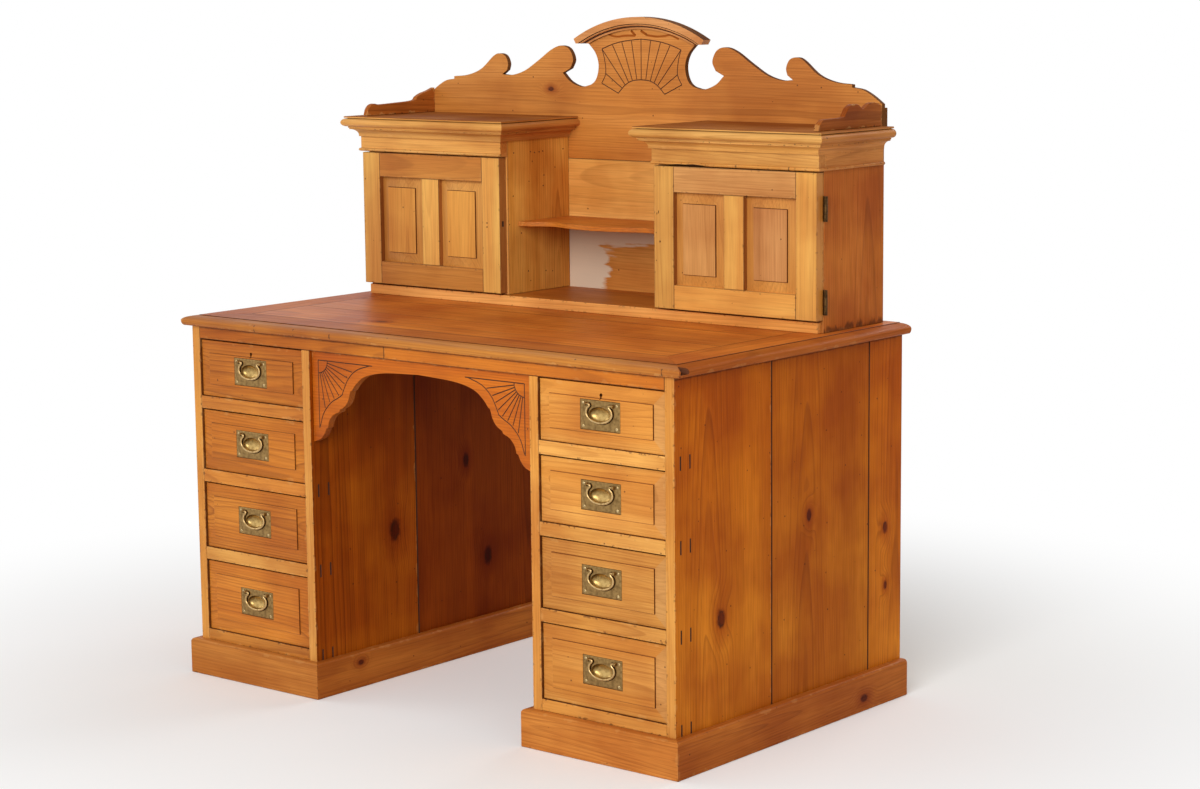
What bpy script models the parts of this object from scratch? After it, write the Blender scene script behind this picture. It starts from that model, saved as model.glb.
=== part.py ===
"""Twin-pedestal pine desk with eight graduated drawers and a cupboard superstructure.

Metres, +Z up, the drawers face -Y. The origin is on the floor, under the middle of the desk.
"""

import math

import bmesh
import bpy
from mathutils import Matrix, Vector

# Fits and clearances
FIT = 0.0003  # between pieces that are glued, nailed or resting
FUSE = 0.001  # overlap of shapes that make one piece
DRAWER_END_CLEAR = 0.0012  # drawer front to carcase side
DRAWER_TOP_CLEAR = 0.0018  # drawer front to the rail above
DRAWER_FOOT_CLEAR = 0.0008  # drawer front to the rail below
DRAWER_BACK_CLEAR = 0.040  # drawer back to pedestal back
PIN_CLEAR = 0.0004  # hinge pin in its knuckle, bail pin in its ear

# Carcase
WIDTH = 1.300  # over both pedestals
DEPTH = 0.760
KNEE_WIDTH = 0.597
SIDE_T = 0.022
BACK_T = 0.012
PLINTH_H = 0.076
PLINTH_T = 0.0175
PLINTH_ROUND = 0.008
TOP_RAIL_H = 0.026
TOP_RAIL_D = 0.024
RAIL_H = 0.027
RAIL_D = 0.055
DUST_T = 0.010
BOTTOM_RAIL_H = 0.023
DRAWER_OPENINGS = (0.123, 0.132, 0.143, 0.154)  # heights, from the top down

# Desk top, with a thumb moulding and a quirk on the front and the ends
TOP_T = 0.022
TOP_END_OVERHANG = 0.022
TOP_FRONT_OVERHANG = 0.012
TOP_MOULD_W = 0.028
TOP_QUIRK = 0.0014
TOP_NOSE_H = 0.011  # height of the moulding's nose over the top's underside
TOP_UNDERCUT = 0.004  # how far the underside draws in from the nose
TOP_MOULD_STEPS = 3

# Apron
APRON_T = 0.018
APRON_SETBACK = 0.008
APRON_DRAWN_HALF = 0.2985  # half width that the outline below is drawn for
APRON_CROWN = 0.026  # depth of the board at the middle of the arch
APRON_ARCH = ((0.094, 0.031), (0.146, 0.042), (0.172, 0.059), (0.186, 0.075))
APRON_SCALLOP = ((0.190, 0.076), (0.196, 0.094), (0.206, 0.108), (0.221, 0.117))
APRON_COVE = ((0.223, 0.122), (0.241, 0.130), (0.253, 0.144), (0.257, 0.158))
APRON_STEPS = 3
APRON_EDGE_STEPS = 2
APRON_FOOT = ((0.262, 0.160), (0.268, 0.172), (0.279, 0.183), (0.2985, 0.191))

# Drawers
DRAWER_FRONT_T = 0.022
DRAWER_WALL = 0.010
DRAWER_FLOOR_T = 0.006
DRAWER_FLOOR_RISE = 0.008
DRAWER_SIDE_DROP = 0.006  # top of the drawer side below the top of the front
DRAWER_SIDE_INSET = 0.0006
FIELD_MARGIN = 0.0265
FIELD_EDGE_DROP = 0.0055  # bevel's outer edge below the field
FIELD_STEP = 0.0016  # shoulder round the field

# Flush handles
PLATE_W = 0.096
PLATE_H = 0.057
PLATE_SUNK = 0.002
PLATE_PROUD = 0.001
CUP_A = 0.0255
CUP_B = 0.0150
CUP_RISE = 0.0015  # cup's centre above the plate's
CUP_DEPTH = 0.011
CUP_WALL = 0.0014
CUP_RINGS = ((0.88, 0.55), (0.52, 0.92))  # share of the rim, share of the depth
CUP_SIDES = 20
BAIL_R = 0.0023
BAIL_A = 0.0310
BAIL_B = 0.0182
BAIL_CENTRE = 0.005  # ring's centre above the plate's
BAIL_NECK = ((0.0292, 0.0117), (0.0243, 0.0168), (0.0236, 0.0198), (0.0270, 0.0210))
BAIL_SIDES = 6
BAIL_STEPS = 10
BAIL_PIN_R = 0.0015
EAR_X = 0.0302  # inner face of an ear from the handle's middle
EAR_W = 0.0045
EAR_R = 0.0036
EAR_PIN_DEPTH = 0.0030
EAR_SIDES = 8

# Superstructure
CABINET_SPAN = 1.2414  # over the outer sides
CABINET_GAP = 0.414  # pigeonhole, between the inner sides
CABINET_DEPTH = 0.2277  # door face to backboard
CABINET_SIDE_T = 0.018
BACKBOARD_T = 0.012
BACKBOARD_INSET = 0.0218  # backboard to the desk's back edge
BACKBOARD_LAP = 0.007  # how far the outer sides reach back past the backboard's face
CREST_END = 0.001  # crest end in from the cabinet's outer face
BATTEN_T = 0.010  # batten behind the foot of the crest
BATTEN_RISE = 0.036  # above the cabinet tops
BATTEN_DROP = 0.022
BASE_T = 0.022
BASE_SETBACK = 0.010
BASE_END = 0.006
DOOR_T = 0.022
DOOR_H = 0.2935
DOOR_FOOT_GAP = 0.004
DOOR_HEAD_GAP = 0.0025
DOOR_HINGE_EDGE = 0.001  # door edge in from the cabinet's outer face
DOOR_MEET_EDGE = 0.005  # door edge in from the cabinet's inner face
STILE_W = 0.051
DOOR_TOP_RAIL_H = 0.053
DOOR_BOTTOM_RAIL_H = 0.050
MUNTIN_W = 0.050
PANEL_DROP = 0.009
PANEL_MARGIN = 0.024
PANEL_STEP = 0.0018
PANEL_FIELD_DROP = 0.002
PANEL_BACK_DROP = 0.007

# Cornice: the board's nosing over a cove, then the frieze with a bead at its foot
FRIEZE_H = 0.033
FRIEZE_BEAD_H = 0.007
FRIEZE_BEAD_R = 0.004
FRIEZE_RETURN_T = 0.0035
COVE_H = 0.019
COVE_FOOT = 0.005
COVE_HEAD = 0.020
COVE_FILLET = 0.0029  # flat under the hollow, and over it
COVE_STEPS = 4
NOSING_T = 0.026
NOSING_REACH = 0.034
NOSING_FOOT = 0.008  # how far the nosing's underside and top draw in from its nose
NOSING_HEAD = 0.021
NOSING_NOSE_H = 0.0104  # height of the nose over the nosing's underside
NOSING_FOOT_STEPS = 2
NOSING_HEAD_STEPS = 3

# Shelf with a serpentine front
SHELF_T = 0.010
SHELF_RISE = 0.1475  # underside above the base board
SHELF_DRAWN_HALF = 0.207
SHELF_STEPS = 3
SHELF_FRONT = ((0.0, 0.177), (0.070, 0.165), (0.130, 0.148), (0.185, 0.172), (0.207, 0.173))

# Crest: half outlines above the cabinet tops, from the arch outwards
CREST_DRAWN_HALF = 0.6107
ARCH_HALF = 0.1785
ARCH_CROWN = 0.217
ARCH_TIP = 0.169
ARCH_FOOT = 0.159  # where the moulding's ends are sawn level
ARCH_BAND = 0.026
ARCH_REACH = 0.013
ARCH_FASCIA = 0.0143  # flat part of the band, from its top
ARCH_SHOULDER_DROP = 0.0052  # ogee's shoulder behind the fascia
ARCH_HEEL_DROP = 0.0078  # ogee's foot behind the fascia
ARCH_BOARD_DROP = 0.0065  # crest board below the moulding's top
ARCH_STEPS = 20
CREST_NECK_X = 0.148
CREST_NECK = ((0.148, 0.160), (0.127, 0.137), (0.1195, 0.108), (0.131, 0.077), (0.163, 0.065),
              (0.196, 0.075), (0.218, 0.094))
CREST_INNER_SCROLL = ((0.218, 0.094), (0.197, 0.104), (0.1885, 0.124), (0.200, 0.147), (0.223, 0.154),
                      (0.251, 0.145), (0.287, 0.122), (0.328, 0.098), (0.365, 0.0875), (0.393, 0.0885))
CREST_OUTER_SCROLL = ((0.393, 0.0885), (0.3795, 0.098), (0.3765, 0.113), (0.385, 0.130), (0.402, 0.135),
                      (0.420, 0.129), (0.457, 0.100), (0.497, 0.086), (0.539, 0.082))
CREST_SHOULDER = ((0.539, 0.076), (0.564, 0.072), (0.588, 0.060), (0.6107, 0.044))
CREST_STEPS = 3
CREST_ARCH_STEPS = 6

# Galleries on the cabinet tops, outlines from the front back
GALLERY_T = 0.012
GALLERY_SETBACK = 0.004
GALLERY_DRAWN = 0.2237
GALLERY_STEPS = 2
GALLERY_LEFT = ((0.0, 0.0), (0.005, 0.014), (0.014, 0.023), (0.026, 0.026), (0.042, 0.0235), (0.095, 0.025),
                (0.153, 0.028), (0.166, 0.036), (0.182, 0.043), (0.203, 0.048), (0.2237, 0.055))
GALLERY_RIGHT = ((0.0, 0.0), (0.005, 0.012), (0.014, 0.019), (0.026, 0.022), (0.084, 0.023), (0.094, 0.029),
                 (0.104, 0.041), (0.120, 0.0475), (0.140, 0.046), (0.155, 0.037), (0.166, 0.040),
                 (0.182, 0.0475), (0.203, 0.0475), (0.2237, 0.040))

# Butt hinges
HINGE_LEN = 0.050
HINGE_LEAF_T = 0.0016
HINGE_KNUCKLE_R = 0.0042
HINGE_PIN_R = 0.0018
HINGE_KNUCKLE_SHARE = 1.0 / 3.0  # of the length, in the middle, for the door's knuckle
HINGE_HEAD_OFFSET = 0.072  # hinge middle below the door's top edge
HINGE_FOOT_OFFSET = 0.036
HINGE_TONGUE = 0.006  # how far the door's leaf goes into the door
HINGE_SIDES = 10

# Derived places
FRONT_Y = (PLINTH_T - DEPTH) / 2
BACK_Y = FRONT_Y + DEPTH
PEDESTAL_W = (WIDTH - KNEE_WIDTH) / 2
KNEE_X = KNEE_WIDTH / 2
OUTER_X = WIDTH / 2
CARCASE_H = (PLINTH_H + BOTTOM_RAIL_H + sum(DRAWER_OPENINGS)
             + RAIL_H * (len(DRAWER_OPENINGS) - 1) + TOP_RAIL_H)
TOP_Z = CARCASE_H + TOP_T
BACKBOARD_Y = BACK_Y - BACKBOARD_INSET - BACKBOARD_T
DOOR_Y = BACKBOARD_Y - CABINET_DEPTH
CABINET_X = CABINET_SPAN / 2
PIGEON_X = CABINET_GAP / 2
BASE_TOP_Z = TOP_Z + BASE_T
DOOR_Z = BASE_TOP_Z + DOOR_FOOT_GAP
DOOR_HEAD_Z = DOOR_Z + DOOR_H
FRIEZE_Z = DOOR_HEAD_Z + DOOR_HEAD_GAP
COVE_Z = FRIEZE_Z + FRIEZE_H
NOSING_Z = COVE_Z + COVE_H
CABINET_TOP_Z = NOSING_Z + NOSING_T
CABINET_SIDE_Z = NOSING_Z - 2 * FUSE  # head of the cabinet sides, inside the cornice
PLATE_FACE_Y = FRONT_Y - PLATE_PROUD
BAIL_AXIS_Y = PLATE_FACE_Y - BAIL_R - FIT
BAIL_AXIS_RISE = BAIL_NECK[-1][1]  # bail's pins above the plate's middle


def clear_scene():
    """Remove whatever the open file holds."""
    for obj in list(bpy.data.objects):
        bpy.data.objects.remove(obj, do_unlink=True)


def finish(name, colour, roughness, metallic=0.0):
    """Return a plain material of this colour."""
    made = bpy.data.materials.new(name)
    made.use_nodes = True
    shader = made.node_tree.nodes["Principled BSDF"]
    shader.inputs["Base Color"].default_value = (*colour, 1.0)
    shader.inputs["Roughness"].default_value = roughness
    shader.inputs["Metallic"].default_value = metallic
    made.diffuse_color = (*colour, 1.0)
    return made


def link(name, bm):
    """Put a bmesh into the scene as an object."""
    bmesh.ops.recalc_face_normals(bm, faces=bm.faces)
    mesh = bpy.data.meshes.new(name)
    bm.to_mesh(mesh)
    bm.free()
    obj = bpy.data.objects.new(name, mesh)
    bpy.context.scene.collection.objects.link(obj)
    return obj


def add_node(name, bm, material, pivot=(0.0, 0.0, 0.0), parent=None):
    """Make one piece from a bmesh drawn in world space, with its origin at pivot."""
    bmesh.ops.translate(bm, verts=bm.verts, vec=-Vector(pivot))
    obj = link(name, bm)
    obj.data.materials.append(material)
    place(obj, pivot, parent)
    return obj


def place(obj, pivot, parent=None):
    """Set an object's origin to a world point, under an unrotated parent or none."""
    obj.location = Vector(pivot)
    if parent:
        obj.parent = parent
        obj.matrix_parent_inverse = Matrix.Translation(-parent.location)


def combine(body, tool, operation):
    """Return body joined with, or cut by, tool. Both are bmeshes of closed shapes."""
    base, other = link("body", body), link("tool", tool)
    modifier = base.modifiers.new("combine", "BOOLEAN")
    modifier.operation = operation
    modifier.object = other
    modifier.solver = "EXACT"
    evaluated = base.evaluated_get(bpy.context.evaluated_depsgraph_get())
    result = bmesh.new()
    result.from_mesh(evaluated.to_mesh())
    evaluated.to_mesh_clear()
    for obj in (base, other):
        mesh = obj.data
        bpy.data.objects.remove(obj, do_unlink=True)
        bpy.data.meshes.remove(mesh)
    return result


def loft(rings, capped=True):
    """Return a closed shape through rings of equal length, with its two ends filled."""
    bm = bmesh.new()
    loops = [[bm.verts.new(point) for point in ring] for ring in rings]
    count = len(loops[0])
    for one, two in zip(loops, loops[1:]):
        for i in range(count):
            j = (i + 1) % count
            bm.faces.new((one[i], one[j], two[j], two[i]))
    if capped:
        bm.faces.new(loops[0][::-1])
        bm.faces.new(loops[-1])
    return bm


def prism(outline, axis, low, high):
    """Extrude an outline along X, Y or Z. Its points are in the other two axes, in XYZ order."""
    def ring(value):
        return [tuple(p[:axis]) + (value,) + tuple(p[axis:]) for p in outline]
    return loft((ring(low), ring(high)))


def box(low, high):
    """Return a box between two corners."""
    (x0, y0, z0), (x1, y1, z1) = low, high
    return prism(((x0, y0), (x1, y0), (x1, y1), (x0, y1)), 2, z0, z1)


def rod(axis, centre, radius, low, high, sides):
    """Return a round bar along an axis; centre is its place in the other two axes."""
    outline = []
    for i in range(sides):
        turn = math.tau * (i + 0.5) / sides
        outline.append((centre[0] + radius * math.cos(turn), centre[1] + radius * math.sin(turn)))
    return prism(outline, axis, low, high)


def rectangle_stack(levels, x0, x1, y0, y1, sides=(1, 1, 1)):
    """Stack rectangles of (reach, z), where reach grows the left, front and right sides only."""
    left, front, right = sides
    rings = []
    for reach, z in levels:
        a, b, c = x0 - reach * left, x1 + reach * right, y0 - reach * front
        rings.append(((a, c, z), (b, c, z), (b, y1, z), (a, y1, z)))
    return loft(rings)


def u_band(profile, x0, x1, y0, y1):
    """Run a closed profile of (reach, z) round three sides of a rectangle, mitred at the front."""
    def station(corner_x, side, corner_y, forward):
        return [(corner_x + side * reach, corner_y - forward * reach, z) for reach, z in profile]
    return loft((station(x0, -1, y1, 0), station(x0, -1, y0, 1), station(x1, 1, y0, 1), station(x1, 1, y1, 0)))


def panelled_slab(u_cuts, v_cuts, front, back, cells, front_rings, back_rings, to_world):
    """Return a slab on a grid of cuts whose listed cells step in and out.

    A ring is (inset from the cell, depth behind the slab's face). to_world turns (u, v, w) into a point.
    """
    bm = bmesh.new()
    inward = 1 if back > front else -1

    def sheet(w, rings, sign):
        grid = [[bm.verts.new(to_world(u, v, w)) for v in v_cuts] for u in u_cuts]
        for i in range(len(u_cuts) - 1):
            for j in range(len(v_cuts) - 1):
                loop = [grid[i][j], grid[i + 1][j], grid[i + 1][j + 1], grid[i][j + 1]]
                if (i, j) not in cells:
                    bm.faces.new(loop)
                    continue
                for inset, depth in rings:
                    u0, u1 = u_cuts[i] + inset, u_cuts[i + 1] - inset
                    v0, v1 = v_cuts[j] + inset, v_cuts[j + 1] - inset
                    at = w + sign * inward * depth
                    corners = ((u0, v0), (u1, v0), (u1, v1), (u0, v1))
                    inner = [bm.verts.new(to_world(u, v, at)) for u, v in corners]
                    for k in range(4):
                        m = (k + 1) % 4
                        bm.faces.new((loop[k], loop[m], inner[m], inner[k]))
                    loop = inner
                bm.faces.new(loop)
        rim = [row[0] for row in grid] + grid[-1][1:]
        return rim + [row[-1] for row in grid[-2::-1]] + grid[0][-2:0:-1]

    near, far = sheet(front, front_rings, 1), sheet(back, back_rings, -1)
    for i in range(len(near)):
        j = (i + 1) % len(near)
        bm.faces.new((near[i], near[j], far[j], far[i]))
    return bm


def smooth_run(points, steps):
    """Return a Catmull-Rom curve through points, from the first to the last."""
    knots = [Vector(p) for p in points]
    padded = [2 * knots[0] - knots[1], *knots, 2 * knots[-1] - knots[-2]]
    run = []
    for a, b, c, d in zip(padded, padded[1:], padded[2:], padded[3:]):
        for i in range(steps):
            t = i / steps
            run.append(0.5 * (2 * b + (c - a) * t + (2 * a - 5 * b + 4 * c - d) * t**2
                              + (3 * b - a - 3 * c + d) * t**3))
    return [tuple(p) for p in run] + [tuple(knots[-1])]


def mirrored(half):
    """Return an outline drawn from the middle to the right, with its left half added in front."""
    return [(-x, z) for x, z in half[:0:-1]] + list(half)


def tube(path, radii, sides):
    """Return a round bar along a path in the XZ plane."""
    rings = []
    for i, (point, radius) in enumerate(zip(path, radii)):
        along = (path[min(i + 1, len(path) - 1)] - path[max(i - 1, 0)]).normalized()
        across = Vector((0.0, 1.0, 0.0)).cross(along)
        ring = []
        for k in range(sides):
            turn = math.tau * (k + 0.5) / sides
            ring.append(point + radius * (math.cos(turn) * across + math.sin(turn) * Vector((0.0, 1.0, 0.0))))
        rings.append(ring)
    return loft(rings)


def side_board(name, low_x, material):
    """Pedestal side, notched at its head for the top rail."""
    head, notch_z, notch_y = CARCASE_H - FIT, CARCASE_H - TOP_RAIL_H - FIT, FRONT_Y + TOP_RAIL_D + FIT
    outline = ((FRONT_Y, 0.0), (BACK_Y, 0.0), (BACK_Y, head), (notch_y, head), (notch_y, notch_z),
               (FRONT_Y, notch_z))
    add_node(name, prism(outline, 0, low_x, low_x + SIDE_T), material)


def rail_and_board(name, x0, x1, low_z, rail_h, material):
    """Drawer rail with its dust board, flush on top so that a drawer runs over both."""
    top, back = low_z + rail_h, BACK_Y - BACK_T - FIT
    outline = ((FRONT_Y, low_z), (FRONT_Y + RAIL_D, low_z), (FRONT_Y + RAIL_D, top - DUST_T),
               (back, top - DUST_T), (back, top), (FRONT_Y, top))
    add_node(name, prism(outline, 0, x0 + FIT, x1 - FIT), material)


def plinth(name, x0, x1, material):
    """Plinth boards round the front and both sides of a pedestal, with a rounded top edge."""
    soft = PLINTH_ROUND * (1 - math.sqrt(0.5))
    profile = ((FIT, 0.0), (PLINTH_T, 0.0), (PLINTH_T, PLINTH_H - PLINTH_ROUND),
               (PLINTH_T - soft, PLINTH_H - soft), (PLINTH_T - PLINTH_ROUND, PLINTH_H), (FIT, PLINTH_H))
    add_node(name, u_band(profile, x0, x1, FRONT_Y, BACK_Y), material)


def opening_floors():
    """Return the floor height of each drawer opening, from the top down."""
    floors, z = [], CARCASE_H - TOP_RAIL_H
    for height in DRAWER_OPENINGS:
        floors.append(z - height)
        z -= height + RAIL_H
    return floors


def pedestal(side, outer_x, finishes):
    """Build one pedestal's carcase. outer_x is signed, so its sign is the pedestal's side."""
    sign = math.copysign(1, outer_x)
    x0, x1 = sorted((outer_x, sign * KNEE_X))
    outer_low, inner_low = (x0, x1 - SIDE_T) if sign < 0 else (x1 - SIDE_T, x0)
    side_board(f"{side}_outer_side", outer_low, finishes["side"])
    side_board(f"{side}_inner_side", inner_low, finishes["kneehole"])
    inside = (x0 + SIDE_T, x1 - SIDE_T)
    back_low = (inside[0] + FIT, BACK_Y - BACK_T, 0.0)
    add_node(f"{side}_back", box(back_low, (inside[1] - FIT, BACK_Y, CARCASE_H - FIT)), finishes["back"])
    plinth(f"{side}_plinth", x0, x1, finishes["plinth"])
    floors = opening_floors()
    for number, floor in enumerate(floors[:-1], 1):
        rail_and_board(f"{side}_drawer_rail_{number}", *inside, floor - RAIL_H, RAIL_H, finishes["rail"])
    rail_and_board(f"{side}_bottom", *inside, floors[-1] - BOTTOM_RAIL_H, BOTTOM_RAIL_H, finishes["rail"])
    return inside


def drawer_body(x0, x1, floor, height):
    """Drawer in one piece: a fielded front, a box behind it, and the pocket for its handle."""
    fx0, fx1 = x0 + DRAWER_END_CLEAR, x1 - DRAWER_END_CLEAR
    fz0, fz1 = floor + DRAWER_FOOT_CLEAR, floor + height - DRAWER_TOP_CLEAR
    field = ((FIELD_MARGIN, FIELD_STEP - FIELD_EDGE_DROP), (FIELD_MARGIN, -FIELD_EDGE_DROP))
    front = panelled_slab((fx0, fx1), (fz0, fz1), FRONT_Y + FIELD_EDGE_DROP, FRONT_Y + DRAWER_FRONT_T,
                          {(0, 0)}, field, (), lambda u, v, w: (u, w, v))
    bx0, bx1 = fx0 + DRAWER_SIDE_INSET, fx1 - DRAWER_SIDE_INSET
    by0 = FRONT_Y + DRAWER_FRONT_T - DRAWER_WALL - FUSE
    by1 = BACK_Y - BACK_T - DRAWER_BACK_CLEAR
    bz0, bz1 = floor + FIT, fz1 - DRAWER_SIDE_DROP
    well = bz1 - bz0 - DRAWER_FLOOR_RISE - DRAWER_FLOOR_T
    tray = panelled_slab((bx0, bx1), (by0, by1), bz1, bz0, {(0, 0)},
                         ((DRAWER_WALL, 0.0), (DRAWER_WALL, well)),
                         ((DRAWER_WALL, 0.0), (DRAWER_WALL, DRAWER_FLOOR_RISE)), lambda u, v, w: (u, v, w))
    body = combine(front, tray, "UNION")
    cx, cz = (x0 + x1) / 2, handle_height(floor, height)
    half_w, half_h = PLATE_W / 2 + FIT, PLATE_H / 2 + FIT
    seat_low = (cx - half_w, FRONT_Y - FUSE, cz - half_h)
    seat = box(seat_low, (cx + half_w, FRONT_Y + PLATE_SUNK + FIT, cz + half_h))
    body = combine(body, seat, "DIFFERENCE")
    grow = CUP_WALL + 2 * FIT
    hole = [(cx + (CUP_A + grow) * c, cz + CUP_RISE + (CUP_B + grow) * s) for c, s in cup_turns()]
    cup_floor = PLATE_FACE_Y + CUP_DEPTH + CUP_WALL + FIT
    return combine(body, prism(hole, 1, FRONT_Y, cup_floor), "DIFFERENCE")


def handle_height(floor, height):
    """Return the height of a drawer handle's middle."""
    return floor + (height + DRAWER_FOOT_CLEAR - DRAWER_TOP_CLEAR) / 2


def cup_turns():
    """Return the cosine and sine of each point round the finger cup."""
    turn = math.tau / CUP_SIDES
    return [(math.cos(turn * (i + 0.5)), math.sin(turn * (i + 0.5))) for i in range(CUP_SIDES)]


def handle_plate():
    """Handle plate about its own middle, facing -Y from y = 0: a sheet with a pressed cup and two ears."""
    half_w, half_h, thick = PLATE_W / 2, PLATE_H / 2, PLATE_SUNK + PLATE_PROUD

    def edge(y):
        points = []
        for c, s in cup_turns():
            reach = min(half_w / abs(c), half_h / abs(s))
            points.append([reach * c, y, reach * s])
        for cx in (-half_w, half_w):
            for cz in (-half_h, half_h):
                near = min(points, key=lambda p: (p[0] - cx) ** 2 + (p[2] - cz) ** 2)
                near[0], near[2] = cx, cz
        return points

    def cup(share, grow, y):
        return [((CUP_A * share + grow) * c, y, CUP_RISE + (CUP_B * share + grow) * s) for c, s in cup_turns()]

    rings = [cup(share, 0.0, CUP_DEPTH * depth) for share, depth in reversed(CUP_RINGS)]
    rings += [cup(1.0, 0.0, 0.0), edge(0.0), edge(thick), cup(1.0, CUP_WALL, thick)]
    rings += [cup(share, CUP_WALL, CUP_DEPTH * depth + CUP_WALL) for share, depth in CUP_RINGS]
    plate = loft(rings)
    axis_y = BAIL_AXIS_Y - PLATE_FACE_Y
    for sign in (-1, 1):
        a, b = sorted((sign * EAR_X, sign * (EAR_X + EAR_W)))
        ear = rod(0, (axis_y, BAIL_AXIS_RISE), EAR_R, a, b, EAR_SIDES)
        plate = combine(plate, ear, "UNION")
    for sign in (-1, 1):
        a, b = sorted((sign * (EAR_X - FUSE), sign * (EAR_X + EAR_PIN_DEPTH + FIT)))
        bore = rod(0, (axis_y, BAIL_AXIS_RISE), BAIL_PIN_R + PIN_CLEAR, a, b, EAR_SIDES)
        plate = combine(plate, bore, "DIFFERENCE")
    return plate


def bail():
    """Swinging bail about the axis of its two pins: a ring open at the top, whose feet turn outwards."""
    def at(x, z):
        return Vector((x, 0.0, z - BAIL_AXIS_RISE))

    foot = [at(EAR_X + EAR_PIN_DEPTH, BAIL_AXIS_RISE), at(EAR_X - FIT, BAIL_AXIS_RISE)]
    neck = [at(x, z) for x, z in reversed(BAIL_NECK)]
    right = foot + neck
    turns = [math.pi * i / BAIL_STEPS for i in range(BAIL_STEPS + 1)]
    ring = [at(BAIL_A * math.cos(turn), BAIL_CENTRE - BAIL_B * math.sin(turn)) for turn in turns]
    path = right + ring + [Vector((-p.x, p.y, p.z)) for p in reversed(right)]
    radii = [BAIL_R] * len(path)
    radii[0] = radii[1] = radii[-1] = radii[-2] = BAIL_PIN_R
    return tube(path, radii, BAIL_SIDES)


def drawers(side, inside, finishes, plate_mesh, bail_mesh):
    """Four drawers of one pedestal, with their handles."""
    cx = (inside[0] + inside[1]) / 2
    for number, (floor, height) in enumerate(zip(opening_floors(), DRAWER_OPENINGS), 1):
        cz = handle_height(floor, height)
        drawer = add_node(f"{side}_drawer_{number}", drawer_body(*inside, floor, height), finishes["drawer"],
                          pivot=(cx, FRONT_Y, cz))
        plate = bpy.data.objects.new(f"{side}_handle_plate_{number}", plate_mesh)
        swing = bpy.data.objects.new(f"{side}_handle_bail_{number}", bail_mesh)
        for obj, pivot in ((plate, (cx, PLATE_FACE_Y, cz)), (swing, (cx, BAIL_AXIS_Y, cz + BAIL_AXIS_RISE))):
            bpy.context.scene.collection.objects.link(obj)
            place(obj, pivot, drawer)


def shared_mesh(bm, material):
    """Return a mesh that several pieces use."""
    obj = link("shared", bm)
    mesh = obj.data
    mesh.materials.append(material)
    bpy.data.objects.remove(obj, do_unlink=True)
    return mesh


def desk_top(material):
    """Top with a thumb moulding, set off by a quirk, round the front and both ends."""
    nose_z, mould_h = CARCASE_H + TOP_NOSE_H, TOP_T - TOP_QUIRK - TOP_NOSE_H
    levels = [(-TOP_UNDERCUT, CARCASE_H), (-TOP_UNDERCUT / 4, CARCASE_H + TOP_NOSE_H / 3), (0.0, nose_z)]
    for i in range(1, TOP_MOULD_STEPS + 1):
        turn = i / TOP_MOULD_STEPS * math.pi / 2
        levels.append((-TOP_MOULD_W * (1 - math.cos(turn)), nose_z + mould_h * math.sin(turn)))
    levels.append((-TOP_MOULD_W, TOP_Z))
    x = OUTER_X + TOP_END_OVERHANG
    add_node("desk_top", rectangle_stack(levels, -x, x, FRONT_Y - TOP_FRONT_OVERHANG, BACK_Y), material)


def apron(material):
    """Arched board across the kneehole, with a scallop and a cove stepping down each side."""
    half_x, top = KNEE_X - FIT, CARCASE_H - TOP_RAIL_H - FIT
    half = smooth_run(((0.0, APRON_CROWN), *APRON_ARCH), APRON_STEPS)
    for run in (APRON_SCALLOP, APRON_COVE, APRON_FOOT):
        half += smooth_run(run, APRON_EDGE_STEPS)
    stretch = half_x / APRON_DRAWN_HALF
    lower = mirrored([(x * stretch, top - drop) for x, drop in half])
    outline = [(-half_x, top), *lower, (half_x, top)]
    y = FRONT_Y + APRON_SETBACK
    add_node("apron", prism(outline, 1, y, y + APRON_T), material)


def door(side, sign, finishes):
    """Cupboard door with two fielded panels, and the knuckles of its two hinges."""
    x0, x1 = PIGEON_X + DOOR_MEET_EDGE, CABINET_X - DOOR_HINGE_EDGE
    middle = (x0 + x1) / 2
    u_cuts = (x0, x0 + STILE_W, middle - MUNTIN_W / 2, middle + MUNTIN_W / 2, x1 - STILE_W, x1)
    v_cuts = (DOOR_Z, DOOR_Z + DOOR_BOTTOM_RAIL_H, DOOR_HEAD_Z - DOOR_TOP_RAIL_H, DOOR_HEAD_Z)
    panel = ((0.0, PANEL_DROP), (PANEL_MARGIN, PANEL_FIELD_DROP + PANEL_STEP), (PANEL_MARGIN, PANEL_FIELD_DROP))
    leaf = panelled_slab(u_cuts, v_cuts, DOOR_Y, DOOR_Y + DOOR_T, {(1, 1), (3, 1)}, panel,
                         ((0.0, PANEL_BACK_DROP),), lambda u, v, w: (u, w, v))
    axis_x, axis_y = hinge_axis()
    for low, high in hinge_spans():
        gap = (high - low) * (1 - HINGE_KNUCKLE_SHARE) / 2
        a, b = low + gap + FIT, high - gap - FIT
        knuckle = rod(2, (axis_x, axis_y), HINGE_KNUCKLE_R, a, b, HINGE_SIDES)
        back = DOOR_Y + DOOR_T
        tongue = box((x1 - HINGE_TONGUE, back - HINGE_LEAF_T, a), (axis_x, back - FIT, b))
        knuckle = combine(knuckle, tongue, "UNION")
        bore = rod(2, (axis_x, axis_y), HINGE_PIN_R + PIN_CLEAR, a - FUSE, b + FUSE, HINGE_SIDES)
        leaf = combine(leaf, combine(knuckle, bore, "DIFFERENCE"), "UNION")
    mirror_x(leaf, sign)
    add_node(f"{side}_door", leaf, finishes["door"], pivot=(sign * axis_x, axis_y, DOOR_Z))


def mirror_x(bm, sign):
    """Flip a shape to the left where sign is negative."""
    bmesh.ops.scale(bm, verts=bm.verts, vec=(sign, 1.0, 1.0))


def hinge_axis():
    """Return X and Y of the right-hand door's hinge pins."""
    return CABINET_X + HINGE_KNUCKLE_R + FIT, DOOR_Y + DOOR_T + FIT / 2


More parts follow.
